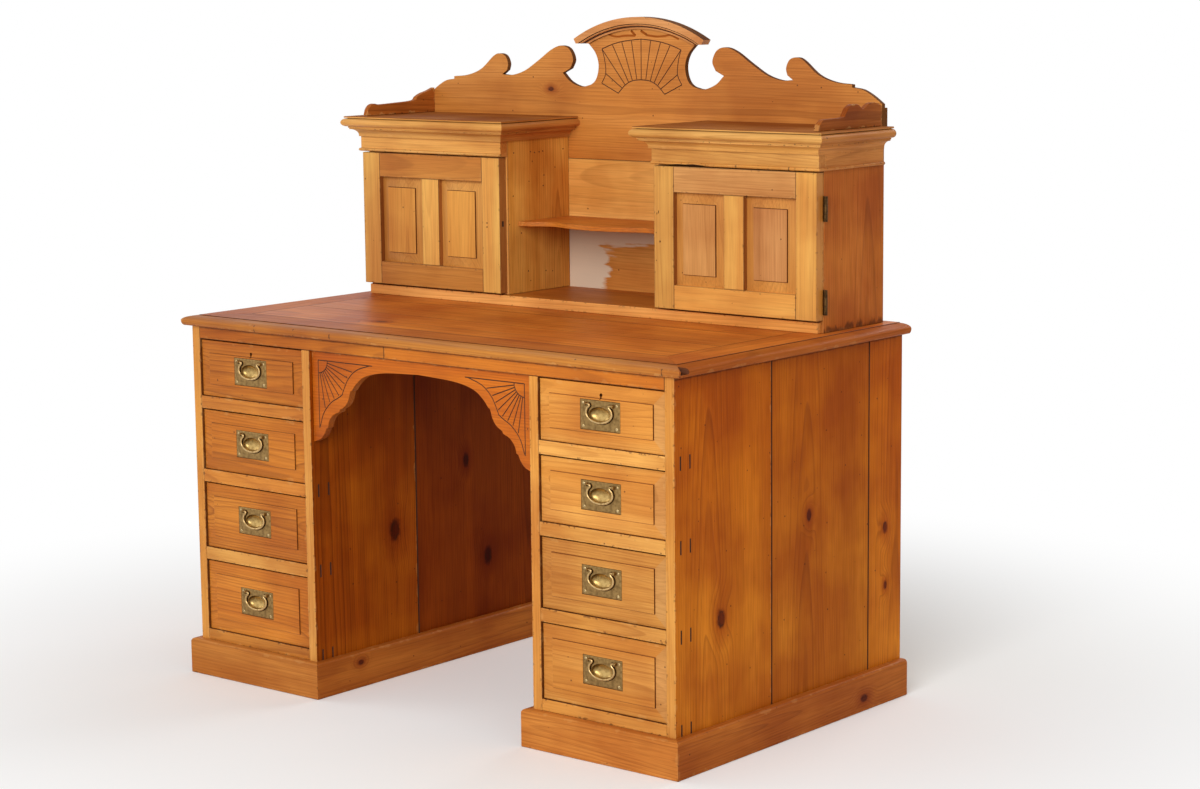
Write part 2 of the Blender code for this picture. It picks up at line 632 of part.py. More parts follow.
def hinge_spans():
    """Return the low and high end of the foot hinge and of the head hinge."""
    middles = (DOOR_Z + HINGE_FOOT_OFFSET, DOOR_HEAD_Z - HINGE_HEAD_OFFSET)
    return [(z - HINGE_LEN / 2, z + HINGE_LEN / 2) for z in middles]


def hinge(name, sign, low, high, material):
    """Fixed leaf of a butt hinge, with its two knuckles and the pin."""
    axis_x, axis_y = hinge_axis()
    knuckle = (high - low) * (1 - HINGE_KNUCKLE_SHARE) / 2
    leaf_y = DOOR_Y + DOOR_T + FIT
    x0, x1 = CABINET_X - CABINET_SIDE_T, CABINET_X - FIT
    outline = ((x0, low), (axis_x, low), (axis_x, low + knuckle), (x1, low + knuckle), (x1, high - knuckle),
               (axis_x, high - knuckle), (axis_x, high), (x0, high))
    body = prism(outline, 1, leaf_y, leaf_y + HINGE_LEAF_T)
    for a, b in ((low, low + knuckle), (high - knuckle, high)):
        body = combine(body, rod(2, (axis_x, axis_y), HINGE_KNUCKLE_R, a, b, HINGE_SIDES), "UNION")
    pin = rod(2, (axis_x, axis_y), HINGE_PIN_R, low + knuckle / 2, high - knuckle / 2, HINGE_SIDES)
    body = combine(body, pin, "UNION")
    mirror_x(body, sign)
    add_node(name, body, material, pivot=(sign * axis_x, axis_y, low))


def cabinet_sides(side, sign, finishes):
    """Outer side, cut for the hinge leaves, and plain inner side of one cabinet."""
    front, back = DOOR_Y + DOOR_T + FIT, BACKBOARD_Y - FIT
    low, high = BASE_TOP_Z + FIT, CABINET_SIDE_Z - FIT
    deep, lap = front + HINGE_LEAF_T + FIT, BACKBOARD_Y + BACKBOARD_LAP
    edge = [(front, low)]
    for a, b in hinge_spans():
        edge += [(front, a - FIT), (deep, a - FIT), (deep, b + FIT), (front, b + FIT)]
    outline = edge + [(front, high), (lap, high), (lap, low)]
    outer = prism(outline, 0, CABINET_X - CABINET_SIDE_T, CABINET_X)
    inner = box((PIGEON_X, front, low), (PIGEON_X + CABINET_SIDE_T, back, high))
    for label, shape in (("outer", outer), ("inner", inner)):
        mirror_x(shape, sign)
        add_node(f"{side}_cabinet_{label}_side", shape, finishes["cabinet"])


def cornice_levels():
    """Return (reach, height) of the cornice from the foot of its cove to the top of its nosing."""
    levels = [(COVE_FOOT, COVE_Z)]
    cove_reach, cove_h = COVE_HEAD - COVE_FOOT, COVE_H - 2 * COVE_FILLET
    for i in range(COVE_STEPS + 1):
        turn = i / COVE_STEPS * math.pi / 2
        levels.append((COVE_FOOT + cove_reach * (1 - math.cos(turn)),
                       COVE_Z + COVE_FILLET + cove_h * math.sin(turn)))
    levels.append((COVE_HEAD, NOSING_Z - FUSE))
    levels.append((NOSING_REACH - NOSING_FOOT, NOSING_Z))
    nose_z = NOSING_Z + NOSING_NOSE_H
    for i in range(1, NOSING_FOOT_STEPS + 1):
        turn = i / NOSING_FOOT_STEPS * math.pi / 2
        levels.append((NOSING_REACH - NOSING_FOOT * (1 - math.sin(turn)),
                       nose_z - NOSING_NOSE_H * math.cos(turn)))
    for i in range(1, NOSING_HEAD_STEPS + 1):
        turn = i / NOSING_HEAD_STEPS * math.pi / 2
        levels.append((NOSING_REACH - NOSING_HEAD * (1 - math.cos(turn)),
                       nose_z + (CABINET_TOP_Z - nose_z) * math.sin(turn)))
    return levels


def frieze_levels():
    """Return (reach, height) of the frieze from its foot, with a bead there, to inside the cove."""
    levels = []
    for i in range(4):
        turn = math.pi * i / 3
        levels.append((FRIEZE_BEAD_R * math.sin(turn), FRIEZE_Z + FRIEZE_BEAD_H * (1 - math.cos(turn)) / 2))
    return levels + [(0.0, COVE_Z + FUSE)]


def cabinet_top(side, sign, finishes):
    """Cabinet top with its cornice, and the frieze that closes the cabinet over the door."""
    back = BACKBOARD_Y - FIT
    body = rectangle_stack(cornice_levels(), PIGEON_X, CABINET_X, DOOR_Y, back)
    frieze_x = CABINET_X + FRIEZE_RETURN_T
    frieze = rectangle_stack(frieze_levels(), PIGEON_X, frieze_x, DOOR_Y, back - FUSE, (0, 1, 1))
    well_low = (PIGEON_X - FIT, DOOR_Y + DOOR_T, FRIEZE_Z - FUSE)
    well = box(well_low, (CABINET_X + FIT, back + FUSE, CABINET_SIDE_Z))
    body = combine(combine(body, frieze, "UNION"), well, "DIFFERENCE")
    mirror_x(body, sign)
    add_node(f"{side}_cabinet_top", body, finishes["cornice"])


def gallery(side, sign, points, finishes):
    """Scrolled board that stands along the outer edge of a cabinet top."""
    front, back = DOOR_Y + GALLERY_SETBACK, BACKBOARD_Y - FIT
    stretch = (back - front) / GALLERY_DRAWN
    run = smooth_run(points, GALLERY_STEPS)
    foot = CABINET_TOP_Z + FIT
    outline = [(front + y * stretch, foot + z) for y, z in run] + [(back, foot)]
    x = CABINET_X - CREST_END
    shape = prism(outline, 0, x - GALLERY_T, x)
    mirror_x(shape, sign)
    add_node(f"{side}_gallery", shape, finishes["gallery"])


def arch_circle():
    """Return the radius and the centre height of the crest's arched moulding."""
    rise = ARCH_CROWN - ARCH_TIP
    radius = (ARCH_HALF**2 + rise**2) / (2 * rise)
    return radius, CABINET_TOP_Z + ARCH_CROWN - radius


def backboard(material):
    """Backboard with a scrolled crest under an arched moulding."""
    half_x, low_x, foot = CABINET_X - CREST_END, CABINET_X - CABINET_SIDE_T - FIT, TOP_Z + FIT
    stretch = half_x / CREST_DRAWN_HALF
    radius, centre_z = arch_circle()
    under = radius - ARCH_BOARD_DROP
    limit = math.asin(CREST_NECK_X / under)
    turns = [limit * i / CREST_ARCH_STEPS for i in range(CREST_ARCH_STEPS + 1)]
    half = [(under * math.sin(turn), centre_z + under * math.cos(turn)) for turn in turns]
    for run in (CREST_NECK, CREST_INNER_SCROLL[1:], CREST_OUTER_SCROLL[1:], CREST_SHOULDER):
        points = smooth_run(run, CREST_STEPS)
        half += [(x * stretch if x > CREST_NECK_X else x, CABINET_TOP_Z + z) for x, z in points]
    half[-1] = (half_x, half[-1][1])
    half += [(half_x, NOSING_Z), (low_x, NOSING_Z), (low_x, foot)]
    back = BACKBOARD_Y + BACKBOARD_T
    board = combine(prism(mirrored(half), 1, BACKBOARD_Y, back), arch_moulding(radius, centre_z), "UNION")
    batten_x = half_x - FUSE
    batten = box((-batten_x, back - FUSE, CABINET_TOP_Z - BATTEN_DROP),
                 (batten_x, back + BATTEN_T, CABINET_TOP_Z + BATTEN_RISE))
    add_node("backboard", combine(board, batten, "UNION"), material)


def arch_moulding(radius, centre_z):
    """Arched moulding along the crown of the crest: a flat fascia over an ogee foot."""
    face, inner = BACKBOARD_Y - ARCH_REACH, radius - ARCH_BAND
    back, shoulder = BACKBOARD_Y + BACKBOARD_T - FUSE, radius - (ARCH_FASCIA + ARCH_BAND) / 2
    section = ((radius, back), (radius, face), (radius - ARCH_FASCIA, face),
               (shoulder, face + ARCH_SHOULDER_DROP), (inner, face + ARCH_HEEL_DROP), (inner, back))
    limit = math.asin(ARCH_HALF / radius)
    rings = []
    for i in range(ARCH_STEPS + 1):
        turn = limit * (2 * i / ARCH_STEPS - 1)
        rings.append([(r * math.sin(turn), y, centre_z + r * math.cos(turn)) for r, y in section])
    saw = box((-radius, face - FUSE, centre_z), (radius, BACK_Y, CABINET_TOP_Z + ARCH_FOOT))
    return combine(loft(rings), saw, "DIFFERENCE")


def shelf(material):
    """Pigeonhole shelf with a serpentine front."""
    half_x, back = PIGEON_X - FIT, BACKBOARD_Y - FIT
    stretch = half_x / SHELF_DRAWN_HALF
    half = [(x * stretch, back - depth) for x, depth in smooth_run(SHELF_FRONT, SHELF_STEPS)]
    outline = [(-half_x, back), *mirrored(half), (half_x, back)]
    low = BASE_TOP_Z + SHELF_RISE
    add_node("shelf", prism(outline, 2, low, low + SHELF_T), material)


def superstructure(finishes):
    """Cabinets, pigeonhole and crest that stand on the desk top."""
    base_x = CABINET_X - BASE_END
    base_low = (-base_x, DOOR_Y + BASE_SETBACK, TOP_Z + FIT)
    add_node("base_board", box(base_low, (base_x, BACKBOARD_Y - FIT, BASE_TOP_Z)), finishes["base"])
    backboard(finishes["backboard"])
    shelf(finishes["shelf"])
    for side, sign, outline in (("left", -1, GALLERY_LEFT), ("right", 1, GALLERY_RIGHT)):
        cabinet_sides(side, sign, finishes)
        cabinet_top(side, sign, finishes)
        gallery(side, sign, outline, finishes)
        door(side, sign, finishes)
        for place_name, (low, high) in zip(("lower", "upper"), hinge_spans()):
            hinge(f"{side}_hinge_{place_name}", sign, low, high, finishes["brass"])


def main():
    """Build the desk from the floor up."""
    clear_scene()
    finishes = {
        "side": finish("side_pine", (0.47, 0.20, 0.055), 0.42),
        "kneehole": finish("kneehole_pine", (0.24, 0.080, 0.022), 0.50),
        "back": finish("back_pine", (0.36, 0.17, 0.060), 0.60),
        "plinth": finish("plinth_pine", (0.36, 0.14, 0.040), 0.45),
        "rail": finish("rail_pine", (0.56, 0.28, 0.090), 0.42),
        "drawer": finish("drawer_pine", (0.58, 0.27, 0.075), 0.40),
        "top": finish("top_pine", (0.36, 0.14, 0.060), 0.38),
        "apron": finish("apron_pine", (0.52, 0.21, 0.050), 0.42),
        "base": finish("base_pine", (0.60, 0.31, 0.095), 0.42),
        "cabinet": finish("cabinet_pine", (0.50, 0.22, 0.060), 0.45),
        "cornice": finish("cornice_pine", (0.60, 0.31, 0.100), 0.42),
        "backboard": finish("backboard_pine", (0.55, 0.25, 0.075), 0.45),
        "shelf": finish("shelf_pine", (0.44, 0.18, 0.050), 0.45),
        "gallery": finish("gallery_pine", (0.40, 0.16, 0.050), 0.48),
        "door": finish("door_pine", (0.60, 0.30, 0.090), 0.40),
        "brass": finish("aged_brass", (0.36, 0.27, 0.11), 0.38, 1.0),
    }
    plate_mesh = shared_mesh(handle_plate(), finishes["brass"])
    bail_mesh = shared_mesh(bail(), finishes["brass"])
    for side, outer_x in (("left", -OUTER_X), ("right", OUTER_X)):
        inside = pedestal(side, outer_x, finishes)
        drawers(side, inside, finishes, plate_mesh, bail_mesh)
    rail_low = (-OUTER_X, FRONT_Y, CARCASE_H - TOP_RAIL_H)
    add_node("top_rail", box(rail_low, (OUTER_X, FRONT_Y + TOP_RAIL_D, CARCASE_H - FIT)), finishes["rail"])
    apron(finishes["apron"])
    desk_top(finishes["top"])
    superstructure(finishes)
    for obj in bpy.data.objects:
        if "handle" in obj.name or "hinge" in obj.name:
            obj.data.shade_smooth()
            obj.data.set_sharp_from_angle(angle=math.radians(40))


main()
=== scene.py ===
"""Looks of an old pine pedestal desk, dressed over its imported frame.

Metres, +Z up, the drawers face -Y. Every board is a closed shape of its own that carries its own grain.
"""

import logging
import math
import random
from collections.abc import Callable, Iterable, Mapping, Sequence
from dataclasses import dataclass
from enum import Enum

import bmesh
import bpy
from mathutils import Matrix, Vector


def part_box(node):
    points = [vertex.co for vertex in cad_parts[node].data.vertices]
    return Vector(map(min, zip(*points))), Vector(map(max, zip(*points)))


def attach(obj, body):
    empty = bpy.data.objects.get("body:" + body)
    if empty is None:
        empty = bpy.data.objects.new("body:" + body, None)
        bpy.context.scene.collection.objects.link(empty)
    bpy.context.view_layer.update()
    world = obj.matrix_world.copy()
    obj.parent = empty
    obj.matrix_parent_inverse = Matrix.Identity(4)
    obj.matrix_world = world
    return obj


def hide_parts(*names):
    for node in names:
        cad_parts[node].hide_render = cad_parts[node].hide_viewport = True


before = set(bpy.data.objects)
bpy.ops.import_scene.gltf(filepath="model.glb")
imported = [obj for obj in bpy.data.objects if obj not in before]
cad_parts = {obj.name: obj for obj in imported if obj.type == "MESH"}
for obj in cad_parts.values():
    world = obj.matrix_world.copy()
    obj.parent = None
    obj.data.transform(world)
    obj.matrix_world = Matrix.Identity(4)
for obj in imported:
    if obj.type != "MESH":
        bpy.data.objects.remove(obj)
log = logging.getLogger("desk")

Shape = bmesh.types.BMesh
Face = bmesh.types.BMFace
Tree = bpy.types.NodeTree
Node = bpy.types.Node
Socket = bpy.types.NodeSocket
Feed = Node | Socket  # what can feed an input; a node stands for its own first output
Layer = tuple[Feed, str, str]  # share, tint and blend of one layer of colour
Flat = tuple[float, float]
Solid = tuple[float, float, float]

FIT = 0.0003  # gap between pieces that touch
OVER = 0.001  # how far a cutting tool reaches past the face that it enters
SHARP = math.radians(30)  # edges that turn more than this are softened
CREASE = math.radians(46)  # edges that turn more than this stay crisp in the shading
BEVEL_STEPS = 2
FACING = 0.7  # least part of a normal along the axis that its face looks along
LEANING = 0.5  # the same, for a face that may lean
LEVEL = 0.9  # the same, for a face that lies flat
DRAWERS = range(1, 5)  # drawers of a pedestal, from the top
RAILS = ("drawer_rail_1", "drawer_rail_2", "drawer_rail_3", "bottom")  # rails of a pedestal, from the top


class Axis(Enum):
    """Axis of the desk's frame."""

    X = 0
    Y = 1
    Z = 2


class Side(Enum):
    """Half of the desk, by the sign of its X."""

    LEFT = -1
    RIGHT = 1

    @property
    def label(self) -> str:
        """Return the word that node names start with."""
        return self.name.lower()


def linear(colour: str) -> tuple[float, float, float, float]:
    """Turn an sRGB hex colour to linear.

    Args:
        colour: Six hex digits after a hash sign.

    Returns:
        Red, green, blue and an alpha of 1, in linear light.
    """
    parts = [int(colour[i:i + 2], 16) / 255 for i in (1, 3, 5)]
    red, green, blue = (c / 12.92 if c <= 0.04045 else ((c + 0.055) / 1.055) ** 2.4 for c in parts)
    return red, green, blue, 1.0


def feed(tree: Tree, target: Node, sockets: Mapping[str | int, object] | Sequence[object]) -> None:
    """Set the inputs of a node.

    Args:
        tree: Tree that the node is in.
        target: The node.
        sockets: Values or feeds of its inputs, in their order or by name or number.
    """
    pairs = sockets.items() if isinstance(sockets, Mapping) else enumerate(sockets)
    for key, value in pairs:
        if isinstance(value, Node):
            value = value.outputs[0]
        if isinstance(value, Socket):
            tree.links.new(value, target.inputs[key])
        else:
            target.inputs[key].default_value = value


def node(tree: Tree, kind: str, sockets: Mapping[str | int, object] | Sequence[object] = (),
         **settings: object) -> Node:
    """Add one shader node to a tree.

    Args:
        tree: Tree that the node goes into.
        kind: Node type, without the word that all shader nodes start with.
        sockets: Values or feeds of its inputs, in their order or by name or number.
        settings: Properties of the node itself.

    Returns:
        The new node.
    """
    made = tree.nodes.new(f"ShaderNode{kind}")
    for key, value in settings.items():
        setattr(made, key, value)
    feed(tree, made, sockets)
    return made


@dataclass(frozen=True)
class Finish:
    """Surface of a real material."""

    name: str

    def material(self) -> bpy.types.Material:
        """Return the finish's material.

        Returns:
            The material of that name, made on first use.
        """
        made = bpy.data.materials.get(self.name)
        if made is None:
            made = bpy.data.materials.new(self.name)
            made.use_nodes = True
            tree = made.node_tree
            feed(tree, tree.nodes["Principled BSDF"], self.look(tree))
        return made

    def look(self, tree: Tree) -> dict[str, object]:
        """Draw the surface; every kind of finish has its own way.

        Args:
            tree: Material's tree.

        Returns:
            What goes into the shader's inputs, by name.
        """
        raise NotImplementedError


@dataclass(frozen=True)
class Pine(Finish):
    """Old pine under shellac: hand-planed boards, each with its own growth rings.

    The eye sees pale early wood crossed by darker late-wood lines that close into long arches, honey and
    red-brown streaks, knots, pinholes, dark joints, rubbed arrises and a soft satin glow.
    """

    pale: str  # early wood
    deep: str  # late wood
    warm: str  # broad streaks
    ring_mm: float = 5.0  # real rings are 2 to 4 mm, too fine to show, so they are drawn wider
    contrast: float = 0.55
    knots: float = 0.0  # chance of each of a board's two knots
    specks: float = 0.40  # share of the pinhole cells that hold one
    wear: float = 0.28
    patina: float = 0.42
    roughness: float = 0.46
    gloss: float = 0.20  # specular level; thin old shellac shines less than fresh varnish
    upper: str = "#ffffff"  # tint of the thicker shellac above knee height
    grime: Flat | None = None  # heights below and above which dirt and painted shade darken the wood, at its foot and under overhangs
    grime_rag: float = 0.0008  # how far the edge of the dirt and painted shade strays

    def look(self, tree: Tree) -> dict[str, object]:
        """Draw the wood from the grain, rim, half, trait and knot marks of the boards.

        Args:
            tree: Material's tree.

        Returns:
            What goes into the shader's inputs, by name.
        """
        grain = node(tree, "Attribute", attribute_name="grain").outputs["Vector"]
        trait = node(tree, "Attribute", attribute_name="trait").outputs["Vector"]
        dirt, wear, tone = node(tree, "SeparateXYZ", [trait]).outputs
        near, push = self.knot_distance(tree)
        late = self.late_wood(tree, grain, push)
        # Fibres are under 0.1 mm wide; 2.6 mm streaks, 1 / 380 m, are the finest that show.
        fine = node(tree, "VectorMath", (grain, (9.0, 380.0, 380.0)), operation="MULTIPLY")
        fibre = node(tree, "TexNoise", {"Vector": fine, "Scale": 1.0, "Detail": 1.0})
        colour = self.clean_wood(tree, grain, late, fibre)
        colour = self.ageing(tree, colour, near, tone)
        colour = self.handling(tree, colour, dirt, wear)
        relief = node(tree, "Math", (late, 0.6, fibre), operation="MULTIPLY_ADD")
        # Planed late wood stands about 0.05 mm proud; 0.3 mm makes it catch the light at this scale.
        bump = node(tree, "Bump", {"Height": relief, "Strength": 0.30, "Distance": 0.0003})
        rough = node(tree, "MapRange", (fibre, 0.3, 0.7, self.roughness - 0.07, self.roughness + 0.07))
        return {"Base Color": colour, "Roughness": rough, "Normal": bump, "Specular IOR Level": self.gloss}

    def knot_distance(self, tree: Tree) -> tuple[Feed, Feed]:
        """Measure how far a point lies from the nearer of its board's two knots.

        Args:
            tree: Material's tree.

        Returns:
            The distance in knot radii, and how far the rings bow out there, in metres.
        """
        reaches = []
        for name in ("knot_a", "knot_b"):
            place = node(tree, "Attribute", attribute_name=name).outputs["Vector"]
            size = node(tree, "SeparateXYZ", [place]).outputs[2]
            # A branch leaves the stem at a slant, so its knot is longer along the grain.
            flat = node(tree, "VectorMath", (place, (0.62, 1.0, 0.0)), operation="MULTIPLY")
            away = node(tree, "VectorMath", [flat], operation="LENGTH").outputs["Value"]
            reaches.append(node(tree, "Math", (away, size), operation="DIVIDE"))
        near = node(tree, "Math", reaches, operation="MINIMUM")
        # The rings bow out by up to 15 mm, over five times the knot's own radius.
        bow = node(tree, "MapRange", (near, 0.0, 5.5, 0.015, 0.0), interpolation_type="SMOOTHERSTEP")
        return near, bow

    def late_wood(self, tree: Tree, grain: Feed, push: Feed) -> Feed:
        """Draw growth rings round a pith that runs along the board, outside it or just inside.

        Args:
            tree: Material's tree.
            grain: Place in the board's own wood, in metres.
            push: How far knots move the rings, in metres.

        Returns:
            Share of late wood, from 0 to 1.
        """
        slow = node(tree, "VectorMath", (grain, (1.3, 8.0, 8.0)), operation="MULTIPLY")
        wander = node(tree, "TexNoise", {"Vector": slow, "Scale": 1.0, "Detail": 2.0}).outputs["Color"]
        centred = node(tree, "VectorMath", (wander, (0.5, 0.5, 0.5)), operation="SUBTRACT")
        # The stem was never straight: its rings wander by some 5 mm either way.
        bent = node(tree, "VectorMath", (centred, (0.0, 0.022, 0.022), grain), operation="MULTIPLY_ADD")
        across = node(tree, "VectorMath", (bent, (0.0, 1.0, 1.0)), operation="MULTIPLY")
        radius = node(tree, "VectorMath", [across], operation="LENGTH").outputs["Value"]
        grown = node(tree, "Math", (radius, push), operation="ADD")
        phase = node(tree, "Math", (grown, 1000.0 / self.ring_mm), operation="MULTIPLY")
        year = node(tree, "Math", [phase], operation="FLOOR")
        within = node(tree, "Math", [phase], operation="FRACT")
        # A ring darkens slowly from spring to autumn, and ends at once in winter.
        ramp = node(tree, "ValToRGB", [within])
        stops = ramp.color_ramp.elements
        for stop in stops:
            stop.color = (0.0, 0.0, 0.0, 1.0)
        for place, value in ((0.40, 0.10), (0.72, 0.50), (0.88, 1.0), (0.95, 0.85)):
            stops.new(place).color = (value, value, value, 1.0)
        growth = node(tree, "TexWhiteNoise", {"W": year}, noise_dimensions="1D").outputs["Value"]
        strength = node(tree, "MapRange", (growth, 0.0, 1.0, 0.25, 1.0))
        return node(tree, "Math", (ramp, strength), operation="MULTIPLY")

    def clean_wood(self, tree: Tree, grain: Feed, late: Feed, fibre: Feed) -> Feed:
        """Colour clean wood from its streaks, rings and fibres.

        Args:
            tree: Material's tree.
            grain: Place in the board's own wood, in metres.
            late: Share of late wood.
            fibre: Fine streaks along the grain.

        Returns:
            The wood's colour.
        """
        # Streaks of resin and heartwood are 60 mm wide and most of a metre long.
        slow = node(tree, "VectorMath", (grain, (1.4, 16.0, 16.0)), operation="MULTIPLY")
        streak = node(tree, "TexNoise", {"Vector": slow, "Scale": 1.0, "Detail": 2.0})
        streaks = node(tree, "MapRange", (streak, 0.38, 0.62))
        rings = node(tree, "Math", (late, self.contrast), operation="MULTIPLY")
        hairs = node(tree, "MapRange", (fibre, 0.42, 0.70, 0.0, 0.34))
        colour = linear(self.pale)
        for share, tint in ((streaks, self.warm), (rings, self.deep), (hairs, self.deep)):
            colour = node(tree, "Mix", {0: share, 6: colour, 7: linear(tint)}, data_type="RGBA").outputs[2]
        return colour

    def ageing(self, tree: Tree, colour: Feed, near: Feed, tone: Feed) -> Feed:
        """Add uneven shellac, the board's own tone, knots, dirt with painted shade, and pinholes.

        Args:
            tree: Material's tree.
            colour: Clean wood.
            near: Distance to the nearest knot, in its radii.
            tone: The board's own lightness, from -1 to 1.

        Returns:
            The aged colour.
        """
        place = node(tree, "TexCoord").outputs["Object"]
        height = node(tree, "SeparateXYZ", [place]).outputs[2]
        # Shellac lies in clouds some 200 mm across.
        cloud = node(tree, "TexNoise", {"Vector": place, "Scale": 5.0, "Detail": 3.0})
        amber = node(tree, "MapRange", (cloud, 0.40, 0.64, 0.0, self.patina))
        # Feet and mops kept the wood paler below 150 mm; from 600 mm up the shellac is whole.
        whole = node(tree, "MapRange", (height, 0.15, 0.60))
        for share, tint in ((amber, "#c08a55"), (whole, self.upper)):
            colour = node(tree, "Mix", {0: share, 6: colour, 7: linear(tint)}, data_type="RGBA",
                          blend_type="MULTIPLY").outputs[2]
        value = node(tree, "Math", (tone, 0.10, 1.0), operation="MULTIPLY_ADD")
        colour = node(tree, "HueSaturation", {"Value": value, "Color": colour})
        layers = self.knot_layers(tree, place, near) + self.grime_layers(tree, place, height)
        for share, tint, blend in (*layers, self.pinhole_layer(tree)):
            colour = node(tree, "Mix", {0: share, 6: colour, 7: linear(tint)}, data_type="RGBA",
                          blend_type=blend).outputs[2]
        return colour

    def knot_layers(self, tree: Tree, place: Feed, near: Feed) -> list[Layer]:
        """Draw a knot: a darker halo, a red-brown heart and a broken, nearly black rim of bark.

        Args:
            tree: Material's tree.
            place: Place on the desk.
            near: Distance to the nearest knot, in its radii.

        Returns:
            The knot's layers, from the lowest.
        """
        # A knot is ragged every 14 mm or so.
        broken = node(tree, "TexNoise", {"Vector": place, "Scale": 70.0, "Detail": 2.0})
        rough = node(tree, "Math", (broken, 0.9, -0.45), operation="MULTIPLY_ADD")
        away = node(tree, "Math", (near, rough), operation="ADD")
        halo = node(tree, "MapRange", (away, 0.9, 3.4, 1.0, 0.0))
        heart = node(tree, "MapRange", (away, 0.6, 1.3, 1.0, 0.0))
        off = node(tree, "Math", (away, 0.80), operation="SUBTRACT")
        off = node(tree, "Math", [off], operation="ABSOLUTE")
        rim = node(tree, "MapRange", (off, 0.0, 0.35, 0.80, 0.0))
        gaps = node(tree, "MapRange", (broken, 0.42, 0.55))
        bark = node(tree, "Math", (rim, gaps), operation="MULTIPLY")
        return [(halo, "#d8b9a2", "MULTIPLY"), (heart, "#9c8376", "MULTIPLY"), (bark, "#2b1104", "MIX")]

    def grime_layers(self, tree: Tree, place: Feed, height: Feed) -> list[Layer]:
        """Draw old wax and dust, with painted shade, below and above given heights: at the foot and under overhangs.

        Args:
            tree: Material's tree.
            place: Place on the desk.
            height: Height above the floor.

        Returns:
            The lower and the upper layer, or none for wood without them.
        """
        if self.grime is None:
            return []
        # Runs of old wax, and of the painted shade with them, are about 15 mm wide and 40 mm long.
        runs = node(tree, "VectorMath", (place, (65.0, 65.0, 25.0)), operation="MULTIPLY")
        run = node(tree, "TexNoise", {"Vector": runs, "Scale": 1.0, "Detail": 3.0})
        stray = node(tree, "MapRange", (run, 0.3, 0.7, -self.grime_rag, self.grime_rag))
        level = node(tree, "Math", (height, stray), operation="ADD")
        (low, high), fade = self.grime, 0.0024 + 0.55 * self.grime_rag
        spans = ((low + fade, low), (high, high + fade))
        # Each band darkens towards one near-black brown: dirt and painted shade together
        return [(node(tree, "MapRange", (level, *span, 0.0, 0.65)), "#3a1a09", "MIX") for span in spans]

    def pinhole_layer(self, tree: Tree) -> Layer:
        """Scatter pinholes and fly specks over a board's face.

        Args:
            tree: Material's tree.

        Returns:
            The layer of dark specks.
        """
        # They are 1 to 4 mm across, one in each 70 mm cell of the board's face at most.
        cells = 14.0
        grain = node(tree, "Attribute", attribute_name="grain").outputs["Vector"]
        cell = node(tree, "TexVoronoi", {"Vector": grain, "Scale": cells}, voronoi_dimensions="2D")
        chance, size, _ = node(tree, "SeparateColor", [cell.outputs["Color"]]).outputs
        here = node(tree, "Math", (chance, 1.0 - self.specks), operation="GREATER_THAN")
        reach = node(tree, "MapRange", (size, 0.0, 1.0, 0.0006 * cells, 0.0019 * cells))
        inside = node(tree, "Math", (cell.outputs["Distance"], reach), operation="LESS_THAN")
        hole = node(tree, "Math", (inside, here), operation="MULTIPLY")
        return node(tree, "Math", (hole, 0.75), operation="MULTIPLY"), "#381a0a", "MIX"

    @staticmethod
    def edge_distance(tree: Tree) -> Feed:
        """Measure how far a point on a board lies from the board's nearest arris.

        Args:
            tree: Material's tree.

        Returns:
            The second smallest of the distances to the board's three pairs of faces, in metres.
        """
        rim = node(tree, "Attribute", attribute_name="rim").outputs["Vector"]
        half = node(tree, "Attribute", attribute_name="half").outputs["Vector"]
        out = node(tree, "VectorMath", [rim], operation="ABSOLUTE")
        left = node(tree, "VectorMath", (half, out), operation="SUBTRACT")
        a, b, c = node(tree, "SeparateXYZ", [left]).outputs
        low = node(tree, "Math", (a, b), operation="MINIMUM")
        high = node(tree, "Math", (a, b), operation="MAXIMUM")
        other = node(tree, "Math", (high, c), operation="MINIMUM")
        return node(tree, "Math", (low, other), operation="MAXIMUM")

    def handling(self, tree: Tree, colour: Feed, dirt: Feed, wear: Feed) -> Feed:
        """Rub the arrises pale, knock them and darken the joints.

        Args:
            tree: Material's tree.
            colour: Aged wood.
            dirt: How dark this board's joints are.
            wear: How rubbed this board's arrises are.

        Returns:
            The colour of handled wood.
        """
        edge = self.edge_distance(tree)
        place = node(tree, "TexCoord").outputs["Object"]
        # Rubbed stretches come and go every 25 mm or so, and knocks are some 8 mm long.
        patchy = node(tree, "TexNoise", {"Vector": place, "Scale": 40.0, "Detail": 3.0})
        ragged = node(tree, "Math", (patchy, -0.034, 0.0185), operation="MULTIPLY_ADD")
        near = node(tree, "Math", (edge, ragged), operation="ADD")
        rubbed = node(tree, "MapRange", (near, 0.0002, 0.0026, self.wear, 0.0))
        bare = node(tree, "Math", (rubbed, wear), operation="MULTIPLY")
        knocks = node(tree, "TexNoise", {"Vector": place, "Scale": 120.0, "Detail": 1.0})
        struck = node(tree, "MapRange", (knocks, 0.63, 0.69))
        reach = node(tree, "MapRange", (edge, 0.0015, 0.0050, 1.0, 0.0))
        dent = node(tree, "Math", (struck, reach), operation="MULTIPLY")
        dent = node(tree, "Math", (dent, wear), operation="MULTIPLY")
        # Dirt in a joint is drawn 1.6 mm wide, so that it shows as the dark line that the eye sees.
        packed = node(tree, "MapRange", (edge, 0.0009, 0.0017, 0.85, 0.0))
        line = node(tree, "Math", (packed, dirt), operation="MULTIPLY")
        for share, tint in ((bare, "#e2b06a"), (dent, "#3f1d0a"), (line, "#33180a")):
            colour = node(tree, "Mix", {0: share, 6: colour, 7: linear(tint)}, data_type="RGBA").outputs[2]
        return colour


